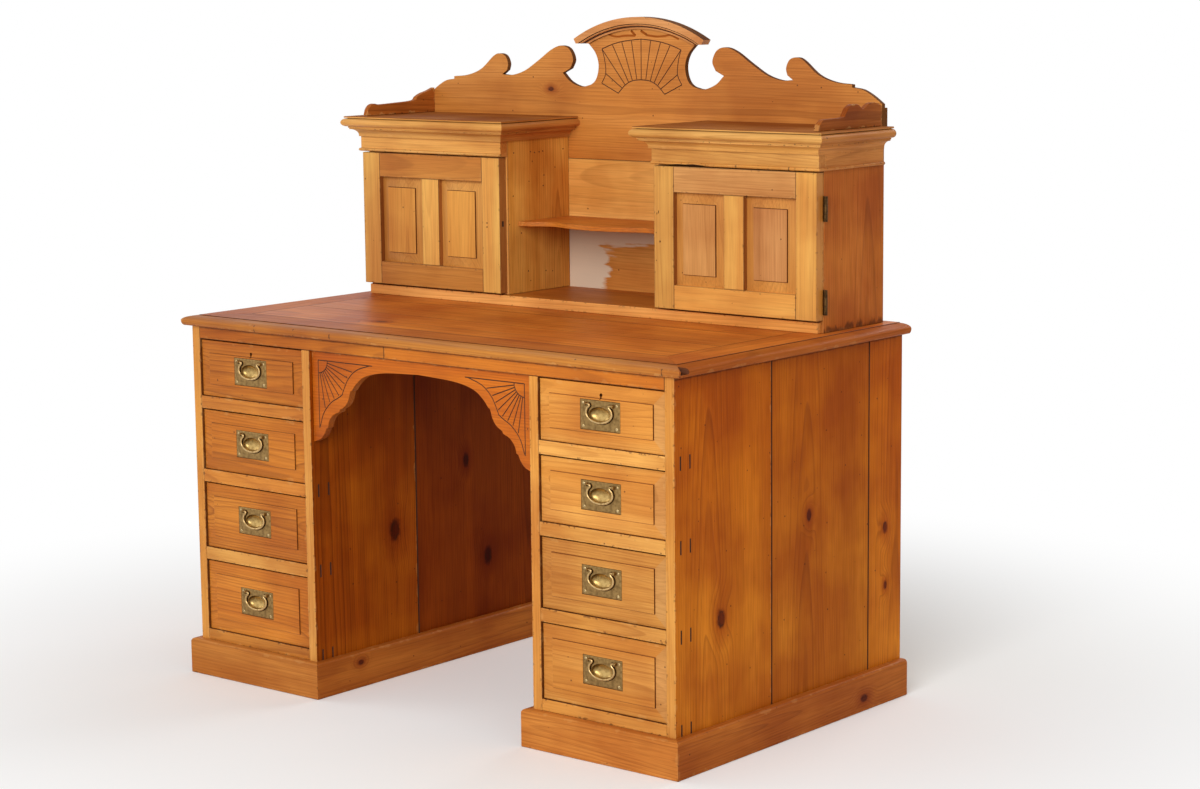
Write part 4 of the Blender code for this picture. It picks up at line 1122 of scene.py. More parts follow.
@dataclass
class Pedestal:
    """One pedestal's carcase: boarded sides and back, rails with dust boards, and a mitred plinth."""

    side: Side
    outer_joints: tuple[float, ...] = (0.305, 0.640)  # behind the front edge
    inner_joints: tuple[float, ...] = (0.311,)
    back_boards: int = 3
    joint_gap: float = 0.0032
    tongue_in: float = 0.0025  # how far the joints' tongues lie below the faces
    notch_depth: float = 0.0243  # for the top rail
    notch_height: float = 0.0263
    tenon_places: tuple[float, ...] = (0.018, 0.047)  # behind the front edge
    tenon_w: float = 0.0042
    tenon_cut: float = 0.0015
    rail_depth: float = 0.055
    pale_rail: str = "left_drawer_rail_3"  # replaced once, in paler wood
    dust_t: float = 0.010
    plinth_round: float = 0.008
    plinth_worn: float = 0.001  # arris that the floor has rubbed off

    def build(self) -> None:
        """Build the carcase from the sides inwards."""
        self.panel("outer_side", self.outer_joints, SIDE_PINE, "side_pine", outside=self.side.value)
        self.panel("inner_side", self.inner_joints, KNEE_SHADE_PINE, "kneehole_pine", outside=-self.side.value)
        self.back()
        self.plinth()
        for name in RAILS:
            self.rail(f"{self.side.label}_{name}")

    def tenon_slots(self, face_x: float, front: float) -> Shape:
        """Return the tool for the dark slots round the rails' twin tenons in one face of a side.

        Args:
            face_x: X of the face.
            front: Y of the side's front edge.

        Returns:
            Closed shells to carve with.
        """
        slots = []
        for name in RAILS:
            low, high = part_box(f"{self.side.label}_{name}")
            for place in self.tenon_places:
                y = front + place
                slots.append(box((face_x - self.tenon_cut, y - self.tenon_w / 2, low.z),
                                 (face_x + self.tenon_cut, y + self.tenon_w / 2, high.z)))
        return join(slots)

    def panel(self, name: str, joints: Sequence[float], finish: Pine, slot: str, outside: int) -> None:
        """Build one side from upright boards.

        Args:
            name: Node's name after the side's word.
            joints: Places of the joints behind the front edge.
            finish: Wood.
            slot: Material slot of the record.
            outside: Sign of the direction that its show face looks in.
        """
        label, inner = f"{self.side.label}_{name}", name == "inner_side"
        low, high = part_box(label)
        piece = Piece(f"{label}_boards", "desk", slot, finish, DIRT_AND_SHADE, RAIL_PINE, DUST_AND_SHADE_PINE, KNEE_REAR_SHADE_PINE)
        knots = SIDE_KNOTS.get((self.side, name))
        cuts = [low.y, *(low.y + j for j in joints), high.y]
        for number, (a, b) in enumerate(zip(cuts, cuts[1:])):
            a += self.joint_gap / 2 if number else 0.0
            b -= self.joint_gap / 2 if number < len(joints) else 0.0
            outline, tool = [(a, low.z), (b, low.z), (b, high.z), (a, high.z)], None
            if not number:
                if inner:
                    notch_y, notch_z = a + self.notch_depth, high.z - self.notch_height
                    outline[3:] = [(notch_y, high.z), (notch_y, notch_z), (a, notch_z)]
                tool = self.tenon_slots(high.x if outside > 0 else low.x, a)

            # Boards of the kneehole behind its front board take the darker rear pine, painted shade
            def paint(one: Face, wood: Finish = KNEE_REAR_SHADE_PINE if number and inner else finish,
                      front: Finish = DIRT_AND_SHADE if number else RAIL_PINE) -> Finish:
                """Choose the finish of one face of a board.

                Args:
                    one: Face of the board.
                    wood: The board's own wood.
                    front: Finish of its front edge.

                Returns:
                    The front edge's finish, dust and painted shade on the drawer side, or the wood.
                """
                if one.normal.y < -FACING:
                    return front
                return DUST_AND_SHADE_PINE if one.normal.x * outside < -FACING else wood

            piece.board(prism(outline, Axis.X, low.x, high.x), Axis.Z, Axis.X, dirt=0.5 if number else 0.1,
                        wear=0.0 if number else 0.5, tool=tool, cut_finish=DIRT_AND_SHADE,
                        knots=knots[number] if knots else None, paint=paint)
        # Dark tongues fill the joints below the faces, and the boards' edges in the joints are dark too: dirt and
        # painted shade in the gaps
        for joint in joints:
            tongue = box((low.x + self.tongue_in, low.y + joint - self.joint_gap, low.z + self.tongue_in),
                         (high.x - self.tongue_in, low.y + joint + self.joint_gap, high.z - self.tongue_in))
            piece.board(tongue, Axis.Z, Axis.X, soft=0.0, finish=DIRT_AND_SHADE)
        piece.build(label)

    def back(self) -> None:
        """Build the back from upright bare boards."""
        label = f"{self.side.label}_back"
        low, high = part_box(label)
        piece = Piece(f"{label}_boards", "desk", "back_pine", RAW_PINE)
        step = (high.x - low.x) / self.back_boards
        for i in range(self.back_boards):
            shape = box((low.x + step * i + FIT, low.y, low.z), (low.x + step * (i + 1) - FIT, high.y, high.z))
            piece.board(shape, Axis.Z, Axis.Y, dirt=0.8, wear=0.0)
        piece.build(label)

    def plinth(self) -> None:
        """Build the plinth's three boards."""
        label = f"{self.side.label}_plinth"
        low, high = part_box(label)
        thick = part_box(f"{self.side.label}_outer_side")[0].y - low.y
        top, soft, worn = high.z, self.plinth_round, self.plinth_worn
        bend = ellipse((thick - soft, top - soft), (soft, soft), 0.0, 90.0, steps=6)
        profile = [(FIT, 0.0), (thick - worn, 0.0), (thick, worn), *bend, (FIT, top)]
        piece = Piece(f"{label}_boards", "desk", "plinth_pine", PLINTH_PINE, PLINTH_SIDE_PINE)
        for shape, grain in three_strips(profile, low.x + thick, high.x - thick, low.y + thick, high.y):
            face, wood = (Axis.Y, PLINTH_PINE) if grain is Axis.X else (Axis.X, PLINTH_SIDE_PINE)
            piece.board(shape, grain, face, soft=0.0, finish=wood, wear=0.4)
        piece.build(label)

    def rail(self, label: str) -> None:
        """Build a drawer rail and the dust board behind it.

        Args:
            label: Node's name.
        """
        low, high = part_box(label)
        wood = LEFT_RAIL_PINE if self.side is Side.LEFT and label != self.pale_rail else RAIL_PINE
        piece = Piece(f"{label}_boards", "desk", "rail_pine", wood, RAW_PINE, DUST_AND_SHADE_PINE)
        front = low.y + self.rail_depth
        # The rail's upper and lower faces, seen only in the gaps round the drawers, take painted shade
        piece.board(box(low, (high.x, front, high.z)), Axis.X, Axis.Y, soft=0.0007, wear=0.6,
                    paint=lambda one: DUST_AND_SHADE_PINE if abs(one.normal.z) > FACING else wood)
        dust = box((low.x, front + FIT, high.z - self.dust_t), high)
        piece.board(dust, Axis.X, Axis.Z, finish=RAW_PINE)
        piece.build(label)


@dataclass
class Kneehole:
    """Top rail across both pedestals, and the arched apron with a carved quarter fan in each corner."""

    rail_joint: float = -0.085
    drawn_half: float = 0.2985  # half width that the outline is drawn for
    crown: float = 0.026
    arch: tuple[Flat, ...] = ((0.094, 0.031), (0.146, 0.042), (0.172, 0.059), (0.186, 0.075))
    scallop: tuple[Flat, ...] = ((0.190, 0.076), (0.196, 0.094), (0.206, 0.108), (0.221, 0.117))
    cove: tuple[Flat, ...] = ((0.223, 0.122), (0.241, 0.130), (0.253, 0.144), (0.257, 0.158))
    foot: tuple[Flat, ...] = ((0.262, 0.160), (0.268, 0.172), (0.279, 0.183), (0.2985, 0.191))
    fan_corner: Flat = (0.280, 0.0190)  # half width and drop of the fan's own corner
    fan_hub: float = 0.0265
    fan_low: float = 0.160  # drop of the upright line's foot
    fan_tip: float = 0.126  # half width where the level line ends
    fan_upper: tuple[Flat, ...] = ((0.132, 0.0187), (0.170, 0.031), (0.1944, 0.051), (0.2094, 0.077), (0.2125, 0.085))
    fan_lower: tuple[Flat, ...] = ((0.2125, 0.085), (0.2232, 0.092), (0.2463, 0.105), (0.2672, 0.128), (0.2785, 0.157))
    fan_rays: int = 8
    line_w: float = 0.0023
    line_depth: float = 0.0017
    ray_gap: Flat = (0.001, 0.003)  # from a ray to the hub and to the rim

    def build(self) -> None:
        """Build the rail and the apron."""
        low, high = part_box("top_rail")
        rail = Piece("top_rail_boards", "desk", "rail_pine", TOP_RAIL_PINE)
        left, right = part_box("left_outer_side")[1].x + FIT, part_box("right_outer_side")[0].x - FIT
        for a, b in ((left, self.rail_joint - FIT), (self.rail_joint + FIT, right)):
            rail.board(box((a, low.y, low.z), (b, high.y, high.z)), Axis.X, Axis.Y, soft=0.0007, dirt=0.7, wear=0.3)
        rail.build("top_rail")
        low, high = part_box("apron")
        half = smooth_run(((0.0, self.crown), *self.arch), steps=6)
        for run in (self.scallop, self.cove, self.foot):
            half += smooth_run(run, steps=4)
        stretch = high.x / self.drawn_half
        lower = mirrored([(x * stretch, high.z - drop) for x, drop in half])
        outline = [(low.x, high.z), *lower, (high.x, high.z)]
        apron = Piece("apron_board", "desk", "apron_pine", APRON_PINE, CARVING_WAX_AND_SHADE, GALLERY_PINE)
        tool = join(v_cut(path, low.y, self.line_w, self.line_depth) for path in self.fan_lines(high.z))
        # The apron's edges take the darker gallery pine: painted shade
        apron.board(prism(outline, Axis.Y, low.y, high.y), Axis.X, Axis.Y, soft=0.0010, wear=0.6, tool=tool,
                    cut_finish=CARVING_WAX_AND_SHADE,
                    paint=lambda one: GALLERY_PINE if abs(one.normal.y) < LEANING else APRON_PINE)
        apron.build("apron")

    def fan_lines(self, top: float) -> list[list[Flat]]:
        """Return the carved lines of both quarter fans.

        Args:
            top: Height of the apron's upper edge.

        Returns:
            A path of (x, z) for each line.
        """
        corner = Vector((self.fan_corner[0], top - self.fan_corner[1]))
        drawn = (self.fan_upper, self.fan_lower)
        upper, lower = (smooth_run([(x, top - drop) for x, drop in run], steps=6) for run in drawn)
        hub = ellipse(tuple(corner), (self.fan_hub, self.fan_hub), 180.0, 270.0, steps=8)
        level, upright = (self.fan_tip, corner.y), (corner.x, top - self.fan_low)
        paths = [[level, tuple(corner)], [tuple(corner), upright], hub, upper, lower]
        for i in range(1, self.fan_rays + 1):
            turn = math.radians(180.0 + 90.0 * i / (self.fan_rays + 1))
            way = Vector((math.cos(turn), math.sin(turn)))
            end = min(upper + lower, key=lambda p: (Vector(p) - corner).normalized().angle(way))
            start, reach = self.fan_hub + self.ray_gap[0], (Vector(end) - corner).length - self.ray_gap[1]
            paths.append([tuple(corner + way * start), tuple(corner + way * reach)])
        return paths + [[(-x, z) for x, z in path] for path in paths]


@dataclass
class Drawer:
    """Drawer with a fielded front, a bare pine box and, on the top ones, a keyhole."""

    side: Side
    number: int
    margin: float = 0.0265
    edge_drop: float = 0.0050
    step: float = 0.0026
    groove: float = 0.0013  # line of dust and painted shade round the field
    groove_fall: float = 0.0004  # slope of the line's floor
    groove_past: float = 0.0020  # how far the dust and painted shade reach in past the field's edge
    field_near: float = 0.0005  # faces nearer to the field's level than this are clean
    bevel_lean: Flat = (0.04, 0.3)  # X of the normals on the right bevel, which takes a painted sheen
    gap: Flat = (0.0006, 0.0016)  # kept at the ends and the top, besides the frame's own clearance
    foot_gap: float = 0.0005
    soft: float = 0.0006
    front_t: float = 0.022
    wall: float = 0.010
    floor_rise: float = 0.008
    floor_t: float = 0.006
    side_drop: float = 0.006
    back_drop: float = 0.004  # below the sides
    side_inset: float = 0.0006
    seat_gap: float = 0.0007  # round the handle's plate
    seat_depth: float = 0.0023
    cup_hole: Flat = (0.0278, 0.0173)
    cup_rise: float = 0.0015
    cup_depth: float = 0.0125
    cup_sides: int = 32
    key_rise: float = 0.0105  # keyhole's middle above the plate
    key_eye: float = 0.0036
    key_slot: float = 0.0032
    key_drop: float = 0.0080
    key_depth: float = 0.012

    @property
    def label(self) -> str:
        """Return the drawer's name."""
        return f"{self.side.label}_drawer_{self.number}"

    def keyhole(self, x: float, z: float) -> list[Flat]:
        """Return a keyhole's outline round a point of the front."""
        eye = ellipse((x, z), (self.key_eye, self.key_eye), -60.0, 240.0, steps=14)
        return eye + [(x - self.key_slot / 2, z - self.key_drop), (x + self.key_slot / 2, z - self.key_drop)]

    def build(self) -> None:
        """Build the front and the box behind it."""
        low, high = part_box(self.label)
        plate_low, plate_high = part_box(f"{self.side.label}_handle_plate_{self.number}")
        wood, bevel = (DRAWER_PINE, BEVEL_SHEEN_PINE) if self.side is Side.RIGHT else (LEFT_DRAWER_PINE, LEFT_DRAWER_PINE)
        piece = Piece(f"{self.label}_boards", self.label, "drawer_pine", wood, RAW_PINE, DUST_AND_SHADE_PINE, bevel,
                      EDGE_GRIME_AND_SHADE_PINE)
        face, (gap_x, gap_z) = low.y, self.gap
        floor, line = face + self.step, self.margin - self.groove
        steps = ((0.0, face + self.front_t), (0.0, face + self.edge_drop), (line, floor),
                 (self.margin, floor + self.groove_fall), (self.margin, face))
        front = fielded((low.x + gap_x, low.z + self.foot_gap), (high.x - gap_x, high.z - gap_z), steps)
        x0, x1 = plate_low.x - self.seat_gap, plate_high.x + self.seat_gap
        z0, z1 = plate_low.z - self.seat_gap, plate_high.z + self.seat_gap
        middle, centre = (plate_low.x + plate_high.x) / 2, (plate_low.z + plate_high.z) / 2
        last = 360.0 - 360.0 / self.cup_sides
        cup = ellipse((middle, centre + self.cup_rise), self.cup_hole, 0.0, last, self.cup_sides - 1)
        seat_cut = box((x0, face - OVER, z0), (x1, face + self.seat_depth, z1))
        soften(front, self.soft)
        front = carve(front, join((seat_cut, prism(cup, Axis.Y, face, face + self.cup_depth))))
        keyhole = None
        if self.number == DRAWERS[0]:
            outline = self.keyhole(middle, plate_high.z + self.key_rise)
            keyhole = prism(outline, Axis.Y, face - OVER, face + self.key_depth)

        def paint(one: Face) -> Finish:
            """Choose the finish of one face of the front.

            Args:
                one: Face of the front.

            Returns:
                Dust and painted shade in the line round the field, darker beside it than above and below it, painted
                shade under the handle, a painted sheen on its right bevel, or the wood.
            """
            x, y, z = one.calc_center_median()
            beside, over = min(x - low.x, high.x - x), min(z - low.z, high.z - z)
            if y > face + self.field_near and line < min(beside, over) < self.margin + self.groove_past:
                return DUST_AND_SHADE_PINE if beside < over else EDGE_GRIME_AND_SHADE_PINE
            if y > face + FIT and x0 - FIT < x < x1 + FIT and z0 - FIT < z < z1 + FIT:
                return DUST_AND_SHADE_PINE
            least, most = self.bevel_lean
            return bevel if least < one.normal.x < most else wood

        piece.board(front, Axis.X, Axis.Y, soft=0.0, wear=0.5, tool=keyhole, cut_finish=DUST_AND_SHADE_PINE, paint=paint)
        self.tray(piece, low, high)
        piece.build(self.label)

    def tray(self, piece: Piece, low: Vector, high: Vector) -> None:
        """Add the sides, the back and the bottom.

        Args:
            piece: Drawer's piece.
            low: Lowest corner of the drawer.
            high: Highest corner.
        """
        x0, x1 = low.x + self.side_inset, high.x - self.side_inset
        y0, y1, z0, z1 = low.y + self.front_t - FIT, high.y, low.z, high.z - self.side_drop
        for a in (x0, x1 - self.wall):
            piece.board(box((a, y0, z0), (a + self.wall, y1, z1)), Axis.Y, Axis.X, finish=RAW_PINE)
        floor = z0 + self.floor_rise
        back = box((x0 + self.wall, y1 - self.wall, floor), (x1 - self.wall, y1, z1 - self.back_drop))
        piece.board(back, Axis.X, Axis.Y, finish=RAW_PINE)
        groove = self.wall / 2
        bottom = box((x0 + groove, y0 - groove, floor), (x1 - groove, y1 - groove, floor + self.floor_t))
        piece.board(bottom, Axis.X, Axis.Z, finish=RAW_PINE)


@dataclass
class FlushHandle:
    """Stamped brass plate with a finger cup and two ears, four screws, and a bail that swings in the ears."""

    cup: Flat = (0.0255, 0.0150)
    cup_rise: float = 0.0015
    cup_depth: float = 0.0110
    cup_turns: tuple[float, ...] = (84, 72, 60, 48, 36, 25, 15, 7, 2)  # degrees up the cup's wall from its floor
    cup_full: float = 0.8  # power that makes the cup fuller than a half ellipse
    cup_edge: float = 1.05  # share of the cup's size that its paler brass, painted light, reaches to
    lip: float = 0.0022
    lip_h: float = 0.0005
    lip_foot: float = 0.0003
    chamfer: float = 0.0016
    edge_worn: float = 0.0002
    sheet: float = 0.003  # thickness of the plate with its turned edge
    wall: float = 0.0012  # thickness round the cup
    proud: float = 0.001  # how far the plate stands out of the drawer
    sides: int = 64
    screw_inset: Flat = (0.0075, 0.0065)
    screw_r: float = 0.0027
    screw_dome: tuple[Flat, ...] = ((1.0, 0.0006), (1.0, 0.0), (0.8, -0.00035), (0.4, -0.0005))  # share of radius, Y
    slot_w: float = 0.0007
    slot_len: float = 0.85  # share of the head's width
    slot_y: Flat = (-0.00055, 0.0002)
    slot_turns: Flat = (35.0, 70.0)  # degrees of the first slot, and from each one to the next
    ear_x: float = 0.0302
    ear_w: float = 0.0045
    ear_r: float = 0.0036
    ear_soft: float = 0.0005
    axis_rise: float = 0.0210
    bail_r: float = 0.0021
    bail_sides: int = 12
    pin_r: float = 0.0015
    pin_len: float = 0.003
    ring: Flat = (0.0310, 0.0182)
    ring_rise: float = 0.005
    ring_steps: int = 40
    neck: tuple[Flat, ...] = ((0.0292, 0.0117), (0.0243, 0.0168), (0.0236, 0.0198), (0.0270, 0.0210))
    neck_steps: int = 5
    # Half width and thickness of the bail's painted shadow on the plate
    track_half: float = 0.0035
    track_t: float = 0.00015

    def plate_shape(self, half_w: float, half_h: float) -> Shape:
        """Return the plate about its own middle, facing -Y from y = 0.

        Args:
            half_w: Half its width.
            half_h: Half its height.

        Returns:
            The closed shape with its cup.
        """
        turns = [math.tau * (i + 0.5) / self.sides for i in range(self.sides)]

        def edge(inset: float, y: float) -> list[Solid]:
            """Return a ring round the plate's edge.

            Args:
                inset: How far inside the edge it lies.
                y: Its Y.

            Returns:
                Its points, of which four lie in the corners.
            """
            w, h = half_w - inset, half_h - inset
            points = []
            for turn in turns:
                reach = min(w / abs(math.cos(turn)), h / abs(math.sin(turn)))
                points.append([reach * math.cos(turn), y, reach * math.sin(turn)])
            for cx in (-w, w):
                for cz in (-h, h):
                    near = min(points, key=lambda p: (p[0] - cx) ** 2 + (p[2] - cz) ** 2)
                    near[0], near[2] = cx, cz
            return [tuple(p) for p in points]

        def bowl(share: float, grow: float, y: float) -> list[Solid]:
            """Return a ring round the cup.

            Args:
                share: Share of the cup's size.
                grow: How much wider it is all round.
                y: Its Y.

            Returns:
                Its points.
            """
            a, b = self.cup[0] * share + grow, self.cup[1] * share + grow
            return [(a * math.cos(t), y, self.cup_rise + b * math.sin(t)) for t in turns]

        climbs = [math.radians(turn) for turn in self.cup_turns]
        hollow = [(math.cos(q), self.cup_depth * math.sin(q) ** self.cup_full) for q in climbs]
        rings = [bowl(share, 0.0, depth) for share, depth in hollow]
        rings += [bowl(1.0, self.lip_foot, -self.lip_h * 0.6), bowl(1.0, self.lip * 0.45, -self.lip_h),
                  bowl(1.0, self.lip, 0.0), edge(self.chamfer, 0.0), edge(self.edge_worn, self.chamfer * 0.6),
                  edge(0.0, self.chamfer), edge(0.0, self.sheet), bowl(1.0, self.wall, self.sheet)]
        rings += [bowl(share, self.wall, depth + self.wall) for share, depth in reversed(hollow[:-2])]
        return loft(rings)

    def screw_shapes(self, half_w: float, half_h: float) -> tuple[Shape, Shape]:
        """Return the plate's four domed screw heads and the dark slots across them.

        Args:
            half_w: Half the plate's width.
            half_h: Half its height.

        Returns:
            The heads, and the slots.
        """
        heads, slots = [], []
        reach, wide, (out, deep) = self.screw_r * self.slot_len, self.slot_w / 2, self.slot_y
        for number, (sx, sz) in enumerate(((-1, -1), (-1, 1), (1, -1), (1, 1))):
            x, z = sx * (half_w - self.screw_inset[0]), sz * (half_h - self.screw_inset[1])
            rings = []
            for share, y in self.screw_dome:
                radius = self.screw_r * share
                rings.append([(p, y, q) for p, q in ellipse((x, z), (radius, radius), 0.0, 337.5, steps=15)])
            heads.append(loft(rings))
            slot = box((-reach, out, -wide), (reach, deep, wide))
            turn = Matrix.Rotation(math.radians(self.slot_turns[0] + self.slot_turns[1] * number), 3, "Y")
            bmesh.ops.rotate(slot, verts=slot.verts, matrix=turn)
            bmesh.ops.translate(slot, verts=slot.verts, vec=(x, 0.0, z))
            slots.append(slot)
        return join(heads), join(slots)

    def bail_path(self) -> list[Flat]:
        """Return the bail's middle line of (x, z) about the plate's middle, from its right pin to its left one.

        Returns:
            The points, of which the first and last two lie along the pins.
        """
        foot = [(self.ear_x + self.pin_len, self.axis_rise), (self.ear_x - FIT, self.axis_rise)]
        curve = ellipse((0.0, self.ring_rise), self.ring, 0.0, -180.0, self.ring_steps)
        steps = self.neck_steps
        neck = smooth_run([foot[1], *reversed(self.neck), curve[0], curve[3]], steps)[steps:-steps]
        right = [*foot, *neck]
        return right + curve[1:-1] + [(-x, z) for x, z in reversed(right)]

    def track_shape(self) -> Shape:
        """Return the painted shadow that the bail casts on the plate, outside the cup.

        Returns:
            A thin closed strip that lies on the plate's face.
        """
        path, thick = self.bail_path()[3:-3], self.track_t
        rings = []
        for point, along in zip(path, headings(path)):
            across = along.orthogonal() * self.track_half
            sides = []
            for end in (Vector(point) + across, Vector(point) - across):
                u, v = end.x / (self.cup[0] + self.lip), (end.y - self.cup_rise) / (self.cup[1] + self.lip)
                grow = max(1.0 / math.hypot(u, v), 1.0)
                sides.append((end.x * grow, self.cup_rise + (end.y - self.cup_rise) * grow))
            (x0, z0), (x1, z1) = sides
            rings.append(((x0, -thick, z0), (x1, -thick, z1), (x1, thick, z1), (x0, thick, z0)))
        return loft(rings)

    def bail_shape(self) -> Shape:
        """Return the bail about the axis of its pins: a round ring open at the top, with feet turned outwards.

        Returns:
            The closed shape.
        """
        path = self.bail_path()
        radii = [self.bail_r] * len(path)
        radii[0] = radii[1] = radii[-1] = radii[-2] = self.pin_r
        turns = [math.tau * k / self.bail_sides for k in range(self.bail_sides)]
        rings = []
        for (x, z), along, radius in zip(path, headings(path), radii):
            ring = []
            for turn in turns:
                out = radius * math.cos(turn)
                ring.append((x - along.y * out, radius * math.sin(turn), z - self.axis_rise + along.x * out))
            rings.append(ring)
        return loft(rings)

    def build(self) -> None:
        """Build the eight handles."""
        plates, bails = None, None
        for side in Side:
            for number in DRAWERS:
                plates = self.one_plate(side, number, plates)
                bails = self.one_bail(side, number, bails)

    def one_plate(self, side: Side, number: int, mesh: bpy.types.Mesh | None) -> bpy.types.Mesh:
        """Place one plate, with a mesh that all plates share.

        Args:
            side: Pedestal.
            number: Drawer, from the top.
            mesh: The shared mesh, or None for the first plate.

        Returns:
            The shared mesh.
        """
        label, body = f"{side.label}_handle_plate_{number}", f"{side.label}_drawer_{number}"
        low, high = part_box(label)
        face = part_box(body)[0].y - self.proud
        if mesh is None:
            bail_low, bail_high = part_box(f"{side.label}_handle_bail_{number}")
            axis_y = (bail_low.y + bail_high.y) / 2 - face
            half_w, half_h = (high.x - low.x) / 2, (high.z - low.z) / 2
            heads, slots = self.screw_shapes(half_w, half_h)
            shells = [self.plate_shape(half_w, half_h)]
            for sign in (-1, 1):
                a, b = sorted((sign * self.ear_x, sign * (self.ear_x + self.ear_w)))
                ear = rod(Axis.X, (axis_y, self.axis_rise), self.ear_r, a, b)
                soften(ear, self.ear_soft)
                shells.append(ear)
            finishes = (BRASS, DIRT_AND_SHADE, SCREW_BRASS, BAIL_SHADOW_BRASS, CUP_BRASS)
            mesh = shared_mesh("handle_plate", (join(shells), slots, heads, self.track_shape()), finishes)
            # Faces inside the cup take the paler brass with its painted light and shade
            for one in mesh.polygons:
                x, y, z = one.center
                inside = math.hypot(x / self.cup[0], (z - self.cup_rise) / self.cup[1]) < self.cup_edge
                if inside and y > 0.0 and one.normal.y < 0.0:
                    one.material_index = finishes.index(CUP_BRASS)
        obj = stand(f"{label}_brass", mesh)
        obj.location = ((low.x + high.x) / 2, face, (low.z + high.z) / 2)
        seat(obj, body, "aged_brass", label)
        return mesh

    def one_bail(self, side: Side, number: int, mesh: bpy.types.Mesh | None) -> bpy.types.Mesh:
        """Place one bail, with a mesh that all bails share.

        Args:
            side: Pedestal.
            number: Drawer, from the top.
            mesh: The shared mesh, or None for the first bail.

        Returns:
            The shared mesh.
        """
        label = f"{side.label}_handle_bail_{number}"
        low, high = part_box(label)
        plate_low, plate_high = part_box(f"{side.label}_handle_plate_{number}")
        if mesh is None:
            mesh = shared_mesh("handle_bail", (self.bail_shape(),), (BAIL_BRASS,))
        obj = stand(f"{label}_brass", mesh)
        axis_z = (plate_low.z + plate_high.z) / 2 + self.axis_rise
        obj.location = ((low.x + high.x) / 2, (low.y + high.y) / 2, axis_z)
        seat(obj, label, "aged_brass", label)
        return mesh


def shared_mesh(name: str, shapes: Sequence[Shape], finishes: Sequence[Finish]) -> bpy.types.Mesh:
    """Make a mesh that several pieces use.

    Args:
        name: Name of the mesh.
        shapes: Closed shapes, used up, each in the finish of its own number.
        finishes: The finishes.

    Returns:
        The mesh.
    """
    for number, shape in enumerate(shapes):
        bmesh.ops.recalc_face_normals(shape, faces=shape.faces)
        for face in shape.faces:
            face.material_index = number
    mesh = mesh_of(name, join(shapes))
    for finish in finishes:
        mesh.materials.append(finish.material())
    return mesh


